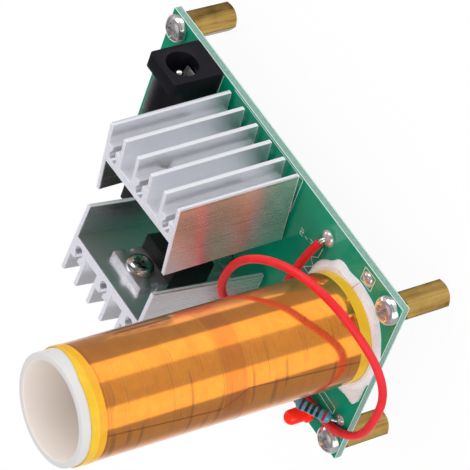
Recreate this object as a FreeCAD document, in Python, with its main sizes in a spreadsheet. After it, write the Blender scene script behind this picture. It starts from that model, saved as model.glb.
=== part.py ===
import FreeCAD, Part
import math
import os
import re

# A small air-cored resonant transformer on its circuit board, in millimetres.
# The origin is the centre of the four standoffs' feet. +Z is up, +X runs towards the coil
# and +Y towards the power socket's edge.

doc = FreeCAD.newDocument("resonant_transformer")
sheet = doc.addObject("Spreadsheet::Sheet", "Sizes")

sizes = {
    # Circuit board, its screws and its standoffs
    "board_thickness": 1.6,
    "mount_inset": 2.7,
    "screw_hole_radius": 1.6,
    "lead_hole_clearance": 0.12,
    "lead_tail": 1.4,
    "standoff_length": 10.0,
    "standoff_flats": 5.0,
    "tapped_radius": 1.5,
    "tapped_depth": 4.2,
    "free_thread_radius": 1.25,
    "screw_radius": 1.45,
    "screw_head_radius": 2.75,
    "screw_head_height": 1.9,
    "screw_head_side": 0.7,
    "recess_length": 3.0,
    "recess_width": 0.7,
    "recess_depth": 1.1,
    "board_screw_length": 5.0,
    # Heat sink extrusion: a base with six fins, and a flange at each end
    "sink_width": 24.0,
    "sink_depth": 15.9,
    "sink_height": 25.25,
    "sink_base": 1.8,
    "flange_depth": 7.5,
    "fin_thickness": 0.85,
    "channel_radius": 1.15,
    "channel_slot": 1.1,
    "channel_offset": 0.4,
    "channel_arm": 2.35,
    "sink_clearance": 0.05,
    "sink_aisle": 10.04,
    "sink_a_overhang": 0.17,
    "sink_a_yaw_angle": 4.03,
    "sink_a_tip_angle": -0.92,
    "sink_a_lean_angle": 2.39,
    "sink_b_overhang": 0.27,
    "sink_b_shift": 0.29,
    "sink_b_yaw_angle": -177.76,
    "sink_b_tip_angle": 1.02,
    "sink_b_lean_angle": 7.06,
    # Solder pins, pressed up into the two outer channels of a sink
    "pin_fit": 0.03,
    "pin_grip": 7.0,
    "pin_tail_radius": 0.75,
    # Transistor in a tabbed package, and the screw that holds it
    "tab_width": 10.0,
    "tab_thickness": 1.3,
    "tab_top": 21.2,
    "tongue_width": 8.6,
    "tab_hole_radius": 1.8,
    "tab_hole_drop": 2.8,
    "package_height": 15.7,
    "package_thickness": 4.5,
    "case_height": 9.3,
    "transistor_a_offset": -0.2,
    "transistor_b_offset": 0.2,
    "lead_pitch": 2.54,
    "lead_width": 0.8,
    "lead_thickness": 0.5,
    "lead_setback": 2.6,
    "shoulder_width": 1.3,
    "shoulder_length": 3.0,
    "transistor_screw_length": 6.0,
    # Power socket
    "jack_end_margin": 8.8,
    "jack_sink_gap": 3.86,
    "jack_overhang": 0.1,
    "jack_flange_width": 9.0,
    "jack_flange_depth": 3.2,
    "jack_height": 10.9,
    "jack_length": 14.2,
    "jack_body_width": 8.6,
    "jack_axis_height": 6.45,
    "socket_radius": 3.15,
    "socket_depth": 10.0,
    "centre_pin_radius": 1.0,
    "centre_pin_recess": 1.8,
    "leaf_width": 3.4,
    "leaf_length": 9.0,
    "leaf_depth": 12.0,
    "leaf_thickness": 0.3,
    "leaf_root_height": 2.6,
    "leaf_knee_height": 2.9,
    "leaf_crown_height": 3.9,
    "leaf_tip_height": 3.2,
    "leaf_floor_height": 2.0,
    "leaf_clearance": 0.2,
    "leaf_end_room": 0.7,
    "tag_width": 2.4,
    "tag_thickness": 0.4,
    "tag_gap": 0.15,
    "tag_clearance": 0.05,
    "rear_tag_rise": 1.6,
    "side_tag_depth": 10.5,
    "side_tag_height": 4.2,
    # Audio socket
    "audio_end_margin": 7.95,
    "audio_overhang": 0.25,
    "audio_width": 6.5,
    "audio_length": 12.0,
    "audio_height": 5.0,
    "audio_wall": 0.5,
    "nose_radius": 2.5,
    "nose_length": 2.0,
    "plug_bore_radius": 1.8,
    "plug_bore_depth": 13.2,
    "sleeve_radius": 2.1,
    "sleeve_length": 5.0,
    "sleeve_fit": 0.02,
    "sleeve_tag_depth": 3.9,
    "contact_length": 5.0,
    "contact_height": 2.2,
    "contact_thickness": 0.25,
    "contact_root": 2.35,
    "contact_crown": 1.65,
    "contact_end": 1.8,
    "contact_clearance": 0.3,
    "tip_contact_depth": 7.55,
    "ring_contact_depth": 5.75,
    "pin_tag_width": 1.2,
    # Coil: tube, winding, tape over it, a band at each end and glue at the foot
    "sink_coil_gap": 10.74,
    "coil_end_margin": 1.1,
    "coil_y": 4.42,
    "coil_tip_angle": -0.53,
    "coil_lean_angle": -0.73,
    "former_radius": 10.05,
    "former_wall": 1.33,
    "former_height": 60.8,
    "winding_start": 3.3,
    "winding_end": 56.1,
    "winding_thickness": 0.16,
    "tape_thickness": 0.08,
    "layer_gap": 0.02,
    "lower_band_start": 1.1,
    "upper_band_end": 59.1,
    "glue_radius": 11.8,
    "glue_shoulder_radius": 10.9,
    "glue_height": 1.8,
    "smear_end_margin": 3.6,
    "smear_y": -3.6,
    "smear_radius": 3.0,
    "smear_height": 0.35,
    # Primary wire and the pads that it is soldered to
    "wire_radius": 0.775,
    "core_radius": 0.45,
    "first_pad_x": 17.0,
    "first_pad_y": 16.2,
    "first_dome_radius": 1.45,
    "first_dome_height": 0.9,
    "core_bend_radius": 0.6,
    "last_pad_x": 12.65,
    "last_pad_y": -5.68,
    "last_dome_radius": 1.2,
    "last_dome_height": 0.8,
    # Winding's lead and its square pad
    "square_pad_shift": 1.35,
    "square_pad_margin": 2.4,
    "square_dome_radius": 1.3,
    "square_dome_height": 0.7,
    "winding_lead_radius": 0.15,
    "winding_lead_height": 1.5,
    "winding_lead_bend_radius": 0.5,
    # Light-emitting diode
    "led_end_margin": 9.5,
    "led_side_margin": 2.75,
    "led_lift": 0.6,
    "led_height": 5.3,
    "led_radius": 1.5,
    "led_flange_radius": 1.9,
    "led_flange_height": 1.0,
    "led_lead_pitch": 2.54,
    "led_lead_width": 0.5,
    # Resistors: one stands on its bent lead, one lies flat
    "resistor_length": 7.1,
    "resistor_radius": 1.05,
    "resistor_end_radius": 1.15,
    "resistor_collar": 0.7,
    "resistor_lead_radius": 0.28,
    "resistor_bend_radius": 0.6,
    "raised_end_margin": 6.1,
    "raised_side_margin": 8.35,
    "raised_resistor_height": 3.53,
    "raised_resistor_tilt_angle": 33.8,
    "raised_elbow": 1.7,
    "raised_near_hole_margin": 10.9,
    "raised_far_hole_margin": 2.4,
    "raised_dome_radius": 1.0,
    "raised_dome_height": 0.7,
    "flat_resistor_shift": 9.15,
    "flat_resistor_margin": 3.2,
    "flat_resistor_height": 1.5,
    "flat_resistor_span": 10.0,
    # Coupling capacitor
    "capacitor_gap": 2.55,
    "capacitor_margin": 5.2,
    "capacitor_width": 7.2,
    "capacitor_thickness": 2.6,
    "capacitor_height": 6.5,
    "capacitor_lift": 0.5,
    "capacitor_lead_pitch": 5.0,
    "capacitor_lead_radius": 0.27,
    # Solder joints under the board
    "joint_height": 1.0,
    "joint_tip_radius": 0.5,
    "joint_radius": 1.15,
    "tag_joint_radius": 1.75,
    # Overrun that carries a cut past the face that it leaves
    "overrun": 1.0,
}

for row, (alias, amount) in enumerate(sizes.items(), 1):
    sheet.set(f"A{row}", alias)
    sheet.set(f"B{row}", str(amount))
    sheet.setAlias(f"B{row}", alias)
doc.recompute()

# Where the pieces stand, worked out from the gaps between them
layout = {
    "board_length": "jack_end_margin + jack_flange_width + jack_sink_gap + sink_width"
                    " + sink_coil_gap + 2 * former_radius + coil_end_margin",
    "board_width": "2 * sink_depth + sink_aisle - sink_a_overhang - sink_b_overhang",
    "socket_end": "(0 - board_length / 2)",
    "coil_end": "board_length / 2",
    "jack_x": "socket_end + jack_end_margin + jack_flange_width / 2",
    "audio_x": "socket_end + audio_end_margin + audio_width / 2",
    "sink_a_x": "jack_x + jack_flange_width / 2 + jack_sink_gap + sink_width / 2",
    "sink_b_x": "sink_a_x + sink_b_shift",
    "sink_a_y": "board_width / 2 + sink_a_overhang - sink_depth / 2",
    "sink_b_y": "0 - (board_width / 2 + sink_b_overhang - sink_depth / 2)",
    "coil_x": "coil_end - coil_end_margin - former_radius",
    "smear_x": "coil_end - smear_end_margin",
    "square_pad_x": "coil_x + square_pad_shift",
    "square_pad_y": "board_width / 2 - square_pad_margin",
    "led_x": "coil_end - led_end_margin",
    "led_y": "led_side_margin - board_width / 2",
    "raised_resistor_x": "coil_end - raised_end_margin",
    "raised_resistor_y": "raised_side_margin - board_width / 2",
    "raised_near_hole_x": "coil_end - raised_near_hole_margin",
    "raised_far_hole_x": "coil_end - raised_far_hole_margin",
    "flat_resistor_x": "coil_x - flat_resistor_shift",
    "flat_resistor_y": "flat_resistor_margin - board_width / 2",
    "capacitor_x": "sink_b_x + sink_width / 2 + capacitor_gap + capacitor_thickness / 2",
    "capacitor_y": "capacitor_margin - board_width / 2",
}

# The extrusion has six fins, and a round channel behind every other gap between them.
fin_count = 6
channel_bays = (0, 2, 4)
corners = ((1, 1), (-1, 1), (-1, -1), (1, -1))

# Heights and faces that several pieces share
board_top = "(standoff_length + board_thickness)"
mount_x = "(board_length / 2 - mount_inset)"
mount_y = "(board_width / 2 - mount_inset)"
sink_inner = "(flange_depth - sink_depth / 2)"
sink_outer = "(flange_depth - sink_depth / 2 + sink_base)"
fin_pitch = f"((sink_width - fin_thickness) / {fin_count - 1})"
case_bottom = "(tab_top - package_height)"
jack_front = "(board_width / 2 + jack_overhang)"
jack_axis = f"({board_top} + jack_axis_height)"
leaf_root_y = f"({jack_front} - leaf_depth)"
audio_front = "(0 - board_width / 2 - audio_overhang)"
audio_mouth = f"({audio_front} - nose_length)"
audio_axis = f"({board_top} + audio_height / 2)"
winding_radius = "(former_radius + layer_gap + winding_thickness)"
tape_radius = f"({winding_radius} + layer_gap + tape_thickness)"

# Turns that point a rod's axis along the part's axes
upright = "0; 0; 0"
towards_x = "0; 90; 0"
towards_y = "0; 0; -90"
away_from_y = "0; 0; 90"


def linked_word(match):
    word = match[0]
    if word in layout:
        return f"({link(layout[word])})"
    return "Sizes." + word if word in sizes else word


def link(text):
    return re.sub(r"[a-z]\w*", linked_word, text)


def number(text):
    return float(sheet.evalExpression(link(text)))


def place(x, y, z, turn=upright):
    return f"placement(vector({x}; {y}; {z}); rotation({turn}))"


def primitive(kind, **texts):
    piece = doc.addObject("Part::" + kind, kind)
    for setting, text in texts.items():
        piece.setExpression(setting, link(text))
    return piece


def block(length, width, height, x, y, z):
    # x and y are the block's middle, and z is its underside.
    corner = place(f"{x} - ({length}) / 2", f"{y} - ({width}) / 2", z)
    return primitive("Box", Length=length, Width=width, Height=height, Placement=corner)


def rod(radius, length, x, y, z, turn=upright):
    return primitive("Cylinder", Radius=radius, Height=length, Placement=place(x, y, z, turn))


def cone(low_radius, high_radius, height, x, y, z):
    return primitive("Cone", Radius1=low_radius, Radius2=high_radius, Height=height, Placement=place(x, y, z))


def ball(radius, x, y, z):
    return primitive("Sphere", Radius=radius, Placement=place(x, y, z))


def join(*pieces):
    joined = doc.addObject("Part::MultiFuse", "Joined")
    joined.Shapes = list(pieces)
    joined.Refine = True
    return joined


def cut(piece, *tools):
    rest = doc.addObject("Part::Cut", "Cut")
    rest.Base = piece
    rest.Tool = tools[0] if len(tools) == 1 else join(*tools)
    return rest


def common(*pieces):
    shared = doc.addObject("Part::MultiCommon", "Common")
    shared.Shapes = list(pieces)
    return shared


def group(*pieces, frame=None):
    grouped = doc.addObject("Part::Compound", "Group")
    grouped.Links = list(pieces)
    if frame:
        grouped.setExpression("Placement", link(frame))
    return grouped


def shaped(shape):
    piece = doc.addObject("Part::Feature", "Shaped")
    piece.Shape = shape
    return piece


subparts = []


def subpart(node, piece, frame=None):
    piece.Label = node
    if frame:
        piece.setExpression("Placement", link(frame))
    subparts.append(piece)
    return piece


def dome(radius, height, x, y):
    # The cap of a ball, as wide as the pad that it covers.
    ball_radius = f"(({radius}^2 + {height}^2) / (2 * {height}))"
    whole = ball(ball_radius, x, y, f"{board_top} + {height} - {ball_radius}")
    return common(whole, rod(radius, height, x, y, board_top))


def route(points, bend=None):
    # Straight runs joined by tangent arcs. With no bend given, each arc is as large as its runs allow.
    reach_share = 0.45
    points = [FreeCAD.Vector(*point) for point in points]
    start = points[0]
    edges = []
    radii = []
    for before, corner, after in zip(points, points[1:], points[2:]):
        back = before - corner
        ahead = after - corner
        shorter = min(back.Length, ahead.Length)
        half_turn = (math.pi - back.getAngle(ahead)) / 2
        radius = bend or reach_share * shorter / math.tan(half_turn)
        reach = radius * math.tan(half_turn)
        back.normalize()
        ahead.normalize()
        inward = (back + ahead).normalize()
        middle = corner + inward * (radius / math.cos(half_turn) - radius)
        edges.append(Part.LineSegment(start, corner + back * reach).toShape())
        edges.append(Part.Arc(corner + back * reach, middle, corner + ahead * reach).toShape())
        start = corner + ahead * reach
        radii.append(radius)
    edges.append(Part.LineSegment(start, points[-1]).toShape())
    return Part.Wire(edges), radii


def tube(points, radius, bend=None):
    path, radii = route(points, bend)
    first, second = (FreeCAD.Vector(*point) for point in points[:2])
    section = Part.Wire(Part.makeCircle(radius, first, second - first))
    return path.makePipeShell([section], True, False)


def plate(outline, thickness, along):
    # A flat outline, pushed along one axis by its thickness.
    vectors = [FreeCAD.Vector(*point) for point in outline]
    return Part.Face(Part.makePolygon(vectors + vectors[:1])).extrude(along * thickness)


def pan_screw(length, frame):
    # The head's underside is at the frame's origin, and the shank runs down from it.
    crown = "(screw_head_height - screw_head_side)"
    crown_radius = f"((screw_head_radius^2 + {crown}^2) / (2 * {crown}))"
    crown_ball = ball(crown_radius, "0", "0", f"screw_head_height - {crown_radius}")
    head = common(rod("screw_head_radius", "screw_head_height", "0", "0", "0"), crown_ball)
    body = join(head, rod("screw_radius", length, "0", "0", f"0 - {length}"))
    floor = "screw_head_height - recess_depth"
    depth = "recess_depth + overrun"
    cross = join(
        block("recess_length", "recess_width", depth, "0", "0", floor),
        block("recess_width", "recess_length", depth, "0", "0", floor),
    )
    screw = cut(body, cross)
    screw.setExpression("Placement", link(frame))
    return screw


def sink_rise(letter):
    # The lowest corner of a leaning sink just clears the board.
    return (
        f"(sink_clearance + sink_width / 2 * sin(abs(sink_{letter}_tip_angle))"
        f" + sink_depth / 2 * sin(abs(sink_{letter}_lean_angle)))"
    )


def sink_frame(letter):
    turn = f"sink_{letter}_yaw_angle; sink_{letter}_tip_angle; sink_{letter}_lean_angle"
    return place(f"sink_{letter}_x", f"sink_{letter}_y", f"{board_top} + {sink_rise(letter)}", turn)


coil_frame = place("coil_x", "coil_y", board_top, "0; coil_tip_angle; coil_lean_angle")


def bay_middle(bay):
    return f"({bay + 0.5 - (fin_count - 1) / 2} * {fin_pitch})"


def heat_sink(letter):
    base = block("sink_width", "sink_base", "sink_height", "0", f"{sink_inner} + sink_base / 2", "0")
    solid = [base]
    holes = []
    for fin in range(fin_count):
        fin_x = f"{fin - (fin_count - 1) / 2} * {fin_pitch}"
        back = "(0 - sink_depth / 2)" if fin in (0, fin_count - 1) else sink_inner
        fin_depth = f"sink_depth / 2 - {back}"
        fin_y = f"{back} + ({fin_depth}) / 2"
        solid.append(block("fin_thickness", fin_depth, "sink_height", fin_x, fin_y, "0"))
    for bay in channel_bays:
        arm_y = f"{sink_outer} + channel_arm / 2"
        solid.append(block(fin_pitch, "channel_arm", "sink_height", bay_middle(bay), arm_y, "0"))
        channel_y = f"({sink_outer} + channel_offset)"
        height = "sink_height + 2 * overrun"
        holes.append(rod("channel_radius", height, bay_middle(bay), channel_y, "0 - overrun"))
        slot_y = f"{channel_y} + channel_arm / 2"
        holes.append(block("channel_slot", "channel_arm", height, bay_middle(bay), slot_y, "0 - overrun"))
    screw_z = "tab_top - tab_hole_drop"
    screw_depth = "sink_base + channel_arm + 2 * overrun"
    screw_x = f"transistor_{letter}_offset"
    screw_y = f"{sink_inner} - overrun"
    holes.append(rod("tapped_radius", screw_depth, screw_x, screw_y, screw_z, towards_y))
    subpart(f"heat_sink_{letter}", cut(join(*solid), *holes), sink_frame(letter))


def sink_pins(letter):
    pins = []
    for bay in (channel_bays[0], channel_bays[-1]):
        pin_y = f"{sink_outer} + channel_offset"
        reach = f"{sink_rise(letter)} + board_thickness + lead_tail"
        grip = rod("channel_radius - pin_fit", "pin_grip", bay_middle(bay), pin_y, "0")
        tail = rod("pin_tail_radius", reach, bay_middle(bay), pin_y, f"0 - ({reach})")
        pins.append(join(grip, tail))
    return group(*pins, frame=sink_frame(letter))


def transistor(letter):
    frame = sink_frame(letter)
    middle = f"transistor_{letter}_offset"
    tab_y = f"{sink_inner} - tab_thickness / 2"
    case_top = f"{case_bottom} + case_height"
    ear = block("tab_width", "tab_thickness", f"tab_top - ({case_top})", middle, tab_y, case_top)
    tongue = block("tongue_width", "tab_thickness", "case_height", middle, tab_y, case_bottom)
    hole_y = f"{sink_inner} - tab_thickness - overrun"
    hole_z = "tab_top - tab_hole_drop"
    hole = rod("tab_hole_radius", "tab_thickness + 2 * overrun", middle, hole_y, hole_z, towards_y)
    subpart(f"transistor_{letter}_tab", cut(join(ear, tongue), hole), frame)
    case_y = f"{sink_inner} - package_thickness / 2"
    case = block("tab_width", "package_thickness", "case_height", middle, case_y, case_bottom)
    bed = block("tongue_width", "tab_thickness", "case_height", middle, tab_y, case_bottom)
    subpart(f"transistor_{letter}_case", cut(case, bed), frame)
    leads = []
    for step in (-1, 0, 1):
        lead_x = f"{middle} + {step} * lead_pitch"
        lead_y = f"{sink_inner} - lead_setback"
        reach = f"{case_bottom} + {sink_rise(letter)} + board_thickness + lead_tail"
        low = f"{case_bottom} - ({reach})"
        shoulder_z = f"{case_bottom} - shoulder_length"
        leads.append(join(
            block("lead_width", "lead_thickness", reach, lead_x, lead_y, low),
            block("shoulder_width", "lead_thickness", "shoulder_length", lead_x, lead_y, shoulder_z),
        ))
    return subpart(f"transistor_{letter}_leads", group(*leads), frame)


def transistor_screw(letter):
    seat = place(
        f"transistor_{letter}_offset",
        f"{sink_inner} - tab_thickness",
        "tab_top - tab_hole_drop",
        away_from_y,
    )
    return pan_screw("transistor_screw_length", f"{sink_frame(letter)} * {seat}")


def standoffs_and_screws():
    posts = []
    screws = []
    for side_x, side_y in corners:
        x = f"{side_x} * {mount_x}"
        y = f"{side_y} * {mount_y}"
        hexagon = primitive(
            "Prism",
            Circumradius="standoff_flats / 2 / cos(30)",
            Height="standoff_length",
            Placement=place(x, y, "0"),
        )
        hexagon.Polygon = 6
        # The thread is drawn at its outer radius where a screw fills it, and at its inner radius below.
        filled = rod("tapped_radius", "tapped_depth + overrun", x, y, "standoff_length - tapped_depth")
        free = rod("free_thread_radius", "standoff_length", x, y, "0 - overrun")
        posts.append(cut(hexagon, filled, free))
        screws.append(pan_screw("board_screw_length", place(x, y, board_top, "45; 0; 0")))
    subpart("board_standoffs", group(*posts))
    subpart("board_screws", group(*screws))


def power_socket():
    body_y = f"{jack_front} - jack_length"
    flange = block(
        "jack_flange_width", "jack_flange_depth", "jack_height",
        "jack_x", f"{jack_front} - jack_flange_depth / 2", board_top,
    )
    box = block(
        "jack_body_width", "jack_length", "jack_axis_height",
        "jack_x", f"{jack_front} - jack_length / 2", board_top,
    )
    back = rod("jack_body_width / 2", "jack_length", "jack_x", body_y, jack_axis, towards_y)
    bore_end = f"{jack_front} - socket_depth"
    bore = rod("socket_radius", "socket_depth + overrun", "jack_x", bore_end, jack_axis, towards_y)
    pin_hole = rod(
        "centre_pin_radius + tag_clearance", "jack_length",
        "jack_x", f"{body_y} - overrun", jack_axis, towards_y,
    )
    # The leaf lies in a pocket under the bore, open to a slot in the rear wall.
    pocket_width = "leaf_width + 2 * leaf_clearance"
    floor_z = f"{board_top} + leaf_floor_height"
    pocket_length = "leaf_length + leaf_end_room + socket_depth - leaf_depth"
    pocket = block(
        pocket_width, pocket_length, "jack_axis_height - leaf_floor_height",
        "jack_x", f"{bore_end} + ({pocket_length}) / 2", floor_z,
    )
    slot_start = f"{leaf_root_y} - tag_gap - tag_thickness - tag_clearance"
    slot_length = "leaf_depth - socket_depth + tag_gap + tag_thickness + tag_clearance + overrun"
    slot_height = "leaf_knee_height + leaf_thickness + leaf_clearance - leaf_floor_height"
    slot_y = f"{slot_start} + ({slot_length}) / 2"
    slot = block(pocket_width, slot_length, slot_height, "jack_x", slot_y, floor_z)
    tag_y = f"({leaf_root_y} - tag_gap - tag_thickness / 2)"
    tag_slot = block(
        "tag_width + 2 * tag_clearance", "tag_thickness + 2 * tag_clearance",
        "leaf_floor_height + 2 * overrun", "jack_x", tag_y, f"{board_top} - overrun",
    )
    subpart("dc_jack_housing", cut(join(flange, box, back), bore, pin_hole, pocket, slot, tag_slot))

    pin_length = "jack_length - centre_pin_recess - centre_pin_radius"
    shaft = rod("centre_pin_radius", pin_length, "jack_x", body_y, jack_axis, towards_y)
    tip = ball("centre_pin_radius", "jack_x", f"{body_y} + {pin_length}", jack_axis)
    subpart("dc_jack_centre_pin", join(shaft, tip))

    tail_z = "(standoff_length - lead_tail)"
    rear_tag = block(
        "tag_width", "tag_thickness", f"{jack_axis} + rear_tag_rise - {tail_z}",
        "jack_x", f"{body_y} - tag_thickness / 2", tail_z,
    )
    leaf_tag = block(
        "tag_width", "tag_thickness", f"{board_top} + leaf_root_height + leaf_thickness - {tail_z}",
        "jack_x", tag_y, tail_z,
    )
    side_tag = block(
        "tag_thickness", "tag_width", f"{board_top} + side_tag_height - {tail_z}",
        "jack_x - jack_body_width / 2 - tag_thickness / 2", f"{jack_front} - side_tag_depth", tail_z,
    )
    subpart("dc_jack_terminals", group(rear_tag, leaf_tag, side_tag))


def power_leaf():
    # The contact rises to a crown inside the bore, then dips again to its tip.
    knee_share = 0.36
    crown_share = 0.69
    profile = (
        (0, "leaf_root_height"),
        (knee_share, "leaf_knee_height"),
        (crown_share, "leaf_crown_height"),
        (1, "leaf_tip_height"),
    )
    left = number("jack_x - leaf_width / 2")
    root = number(leaf_root_y)
    length = number("leaf_length")
    thickness = number("leaf_thickness")
    under = [(left, root + share * length, number(f"{board_top} + {height}")) for share, height in profile]
    over = [(x, y, z + thickness) for x, y, z in reversed(under)]
    leaf = plate(under + over, number("leaf_width"), FreeCAD.Vector(1, 0, 0))
    subpart("dc_jack_spring_contact", shaped(leaf))


def contact_depth(name):
    return f"({audio_mouth} + {name}_contact_depth)"


def audio_contact(name, side):
    # A strip in the side of the bore: its root stays out, its crown reaches in to the plug.
    crown_share = 0.8
    profile = ((0, "contact_root"), (crown_share, "contact_crown"), (1, "contact_end"))
    root = number(contact_depth(name))
    low = number(f"{audio_axis} - contact_height / 2")
    length = number("contact_length")
    middle = number("audio_x")
    thickness = side * number("contact_thickness")
    inner = [(middle + side * number(reach), root + share * length, low) for share, reach in profile]
    outer = [(x + thickness, y, z) for x, y, z in reversed(inner)]
    strip = plate(inner + outer, number("contact_height"), FreeCAD.Vector(0, 0, 1))
    subpart(f"audio_jack_{name}_contact", shaped(strip))


def audio_socket():
    box = block(
        "audio_width", "audio_length", "audio_height",
        "audio_x", f"{audio_front} + audio_length / 2", board_top,
    )
    nose = rod("nose_radius", "nose_length + overrun", "audio_x", audio_mouth, audio_axis, towards_y)
    bore = rod("plug_bore_radius", "plug_bore_depth", "audio_x", audio_mouth, audio_axis, towards_y)
    seat = rod(
        "sleeve_radius + sleeve_fit", "sleeve_length + overrun",
        "audio_x", f"{audio_mouth} - overrun", audio_axis, towards_y,
    )
    sleeve_tag_y = f"({audio_mouth} + sleeve_tag_depth)"
    tag_slot_width = "pin_tag_width + 2 * tag_clearance"
    tag_slot_depth = "contact_thickness + 2 * tag_clearance"
    low = f"{board_top} - overrun"
    sleeve_slot = block(
        tag_slot_width, tag_slot_depth, "audio_height / 2 + overrun", "audio_x", sleeve_tag_y, low
    )
    hollows = [bore, seat, sleeve_slot]
    tail_z = "(standoff_length - lead_tail)"
    tags = []
    for name, side in (("tip", 1), ("ring", -1)):
        start = f"{contact_depth(name)} - tag_gap - pin_tag_width - tag_clearance"
        length = "contact_length + contact_clearance + tag_gap + pin_tag_width + tag_clearance"
        width = "audio_width / 2 - audio_wall"
        height = "contact_height + 2 * contact_clearance"
        window_x = f"audio_x + {side} * ({width}) / 2"
        window_y = f"{start} + ({length}) / 2"
        hollows.append(block(width, length, height, window_x, window_y, f"{audio_axis} - ({height}) / 2"))
        tag_x = f"audio_x + {side} * (contact_root + contact_thickness / 2)"
        tag_y = f"{contact_depth(name)} - tag_gap - pin_tag_width / 2"
        hollows.append(block(tag_slot_depth, tag_slot_width, "audio_height / 2", tag_x, tag_y, low))
        tag_height = f"{audio_axis} + contact_height / 2 - {tail_z}"
        tags.append(block("contact_thickness", "pin_tag_width", tag_height, tag_x, tag_y, tail_z))
    subpart("audio_jack_housing", cut(join(box, nose), *hollows))
    subpart("audio_jack_terminals", group(*tags))

    barrel = rod("sleeve_radius", "sleeve_length", "audio_x", audio_mouth, audio_axis, towards_y)
    tag_height = f"{audio_axis} - plug_bore_radius - {tail_z}"
    tag = block("pin_tag_width", "contact_thickness", tag_height, "audio_x", sleeve_tag_y, tail_z)
    opening = rod(
        "plug_bore_radius", "sleeve_length + 2 * overrun",
        "audio_x", f"{audio_mouth} - overrun", audio_axis, towards_y,
    )
    subpart("audio_jack_sleeve", cut(join(barrel, tag), opening))
    audio_contact("tip", 1)
    audio_contact("ring", -1)


def coil_layer(node, inner_radius, outer_radius, start, end):
    length = f"({end} - {start})"
    outer = rod(outer_radius, length, "0", "0", start)
    inner = rod(inner_radius, f"{length} + 2 * overrun", "0", "0", f"{start} - overrun")
    return subpart(node, cut(outer, inner), coil_frame)


def coil():
    # The tube is sawn flat to the board, although it stands a little out of square.
    outer = rod("former_radius", "former_height + overrun", "0", "0", "0 - overrun")
    inner = rod("former_radius - former_wall", "former_height + 4 * overrun", "0", "0", "0 - 2 * overrun")
    standing = cut(outer, inner)
    standing.setExpression("Placement", link(coil_frame))
    sweep = "4 * former_radius"
    low = f"{board_top} - 4 * overrun"
    below = block(sweep, sweep, "4 * overrun", "coil_x", "coil_y", low)
    subpart("coil_former", cut(standing, below))

    inner_radius = "former_radius + layer_gap"
    coil_layer("secondary_winding", inner_radius, winding_radius, "winding_start", "winding_end")
    coil_layer("winding_tape", f"{winding_radius} + layer_gap", tape_radius, "winding_start", "winding_end")
    coil_layer("lower_tape_band", inner_radius, tape_radius, "lower_band_start", "winding_start")
    coil_layer("upper_tape_band", inner_radius, tape_radius, "winding_end", "upper_band_end")


def coil_glue(winding_lead):
    ring = cone("glue_radius", "glue_shoulder_radius", "glue_height", "coil_x", "coil_y", board_top)
    smear = rod("smear_radius", "smear_height", "smear_x", "smear_y", board_top)
    over_board = block("board_length", "board_width", "glue_height", "0", "0", board_top)
    tube_space = rod("former_radius", "former_height", "0", "0", "0 - 2 * overrun")
    band_space = rod(tape_radius, "former_height", "0", "0", "lower_band_start")
    spaces = group(join(tube_space, band_space), frame=coil_frame)
    subpart("coil_glue", cut(common(join(ring, smear), over_board), spaces, winding_lead))


def winding_lead():
    # It leaves the winding's foot under the lower band and ends in the square pad's solder.
    top = number(board_top)
    foot_y = number(f"coil_y + {tape_radius} + layer_gap + winding_lead_radius")
    x = number("square_pad_x")
    pad_y = number("square_pad_y")
    height = top + number("winding_lead_height")
    low = number("standoff_length - lead_tail")
    points = ((number("coil_x"), foot_y, height), (x, pad_y, height), (x, pad_y, low))
    lead = tube(points, number("winding_lead_radius"), number("winding_lead_bend_radius"))
    return subpart("secondary_lead", shaped(lead))


# The primary wire's route, each point as X, Y and height above the board's top: out from the
# first pad, round behind the coil at its foot, past the lamp and the resistor, out over the
# board's end, up in a loose loop and down again beside the coil.
wire_points = (
    (16.65, 15.1, 1.35),
    (15.5, 11.3, 1.8),
    (15.0, 5.8, 2.9),
    (14.7, -1.7, 3.8),
    (16.9, -8.7, 4.2),
    (22.4, -13.9, 3.3),
    (29.35, -15.3, 0.95),
    (37.1, -14.45, 1.1),
    (42.6, -9.7, 0.95),
    (44.6, -2.2, 1.5),
    (44.9, 5.4, 2.3),
    (41.9, 11.1, 4.1),
    (37.1, 16.5, 7.7),
    (31.3, 19.6, 10.5),
    (24.1, 19.6, 12.6),
    (17.6, 16.9, 14.6),
    (12.6, 11.2, 15.4),
    (11.0, 4.3, 15.5),
    (11.2, -0.7, 14.0),
    (11.8, -4.0, 10.4),
    (12.3, -5.5, 6.3),
    (12.5, -5.6, 2.6),
)


def primary_wire():
    top = number(board_top)
    points = [(x, y, top + height) for x, y, height in wire_points]
    radius = number("wire_radius")
    path, radii = route(points)
    shape = tube(points, radius)
    expected = math.pi * radius ** 2 * path.Length
    print("wire: length %.1f, arc radii %s" % (path.Length, ", ".join("%.1f" % each for each in radii)))
    print("wire: volume %.2f, section times length %.2f" % (shape.Volume, expected))
    subpart("primary_wire", shaped(shape))
    return points


def wire_cores(points, radius):
    # Stripped ends: the first bends down into its pad, the last runs straight on.
    low = number("standoff_length - lead_tail")
    first = FreeCAD.Vector(*points[0])
    pad_x = number("first_pad_x")
    pad_y = number("first_pad_y")
    bent = (first, (pad_x, pad_y, first.z), (pad_x, pad_y, low))
    first_core = tube(bent, radius, number("core_bend_radius"))
    last = FreeCAD.Vector(*points[-1])
    last_core = tube((last, (number("last_pad_x"), number("last_pad_y"), low)), radius)
    return Part.makeCompound([first_core, last_core])


def lamp():
    base = f"({board_top} + led_lift)"
    flange = rod("led_flange_radius", "led_flange_height", "led_x", "led_y", base)
    barrel = rod("led_radius", "led_height - led_radius", "led_x", "led_y", base)
    crown = ball("led_radius", "led_x", "led_y", f"{base} + led_height - led_radius")
    subpart("led_lens", join(flange, barrel, crown))
    leads = []
    for side in (-1, 1):
        x = f"led_x + {side} * led_lead_pitch / 2"
        reach = "led_lift + board_thickness + lead_tail"
        leads.append(block("led_lead_width", "led_lead_width", reach, x, "led_y", f"{base} - ({reach})"))
    return subpart("led_leads", group(*leads))


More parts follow.
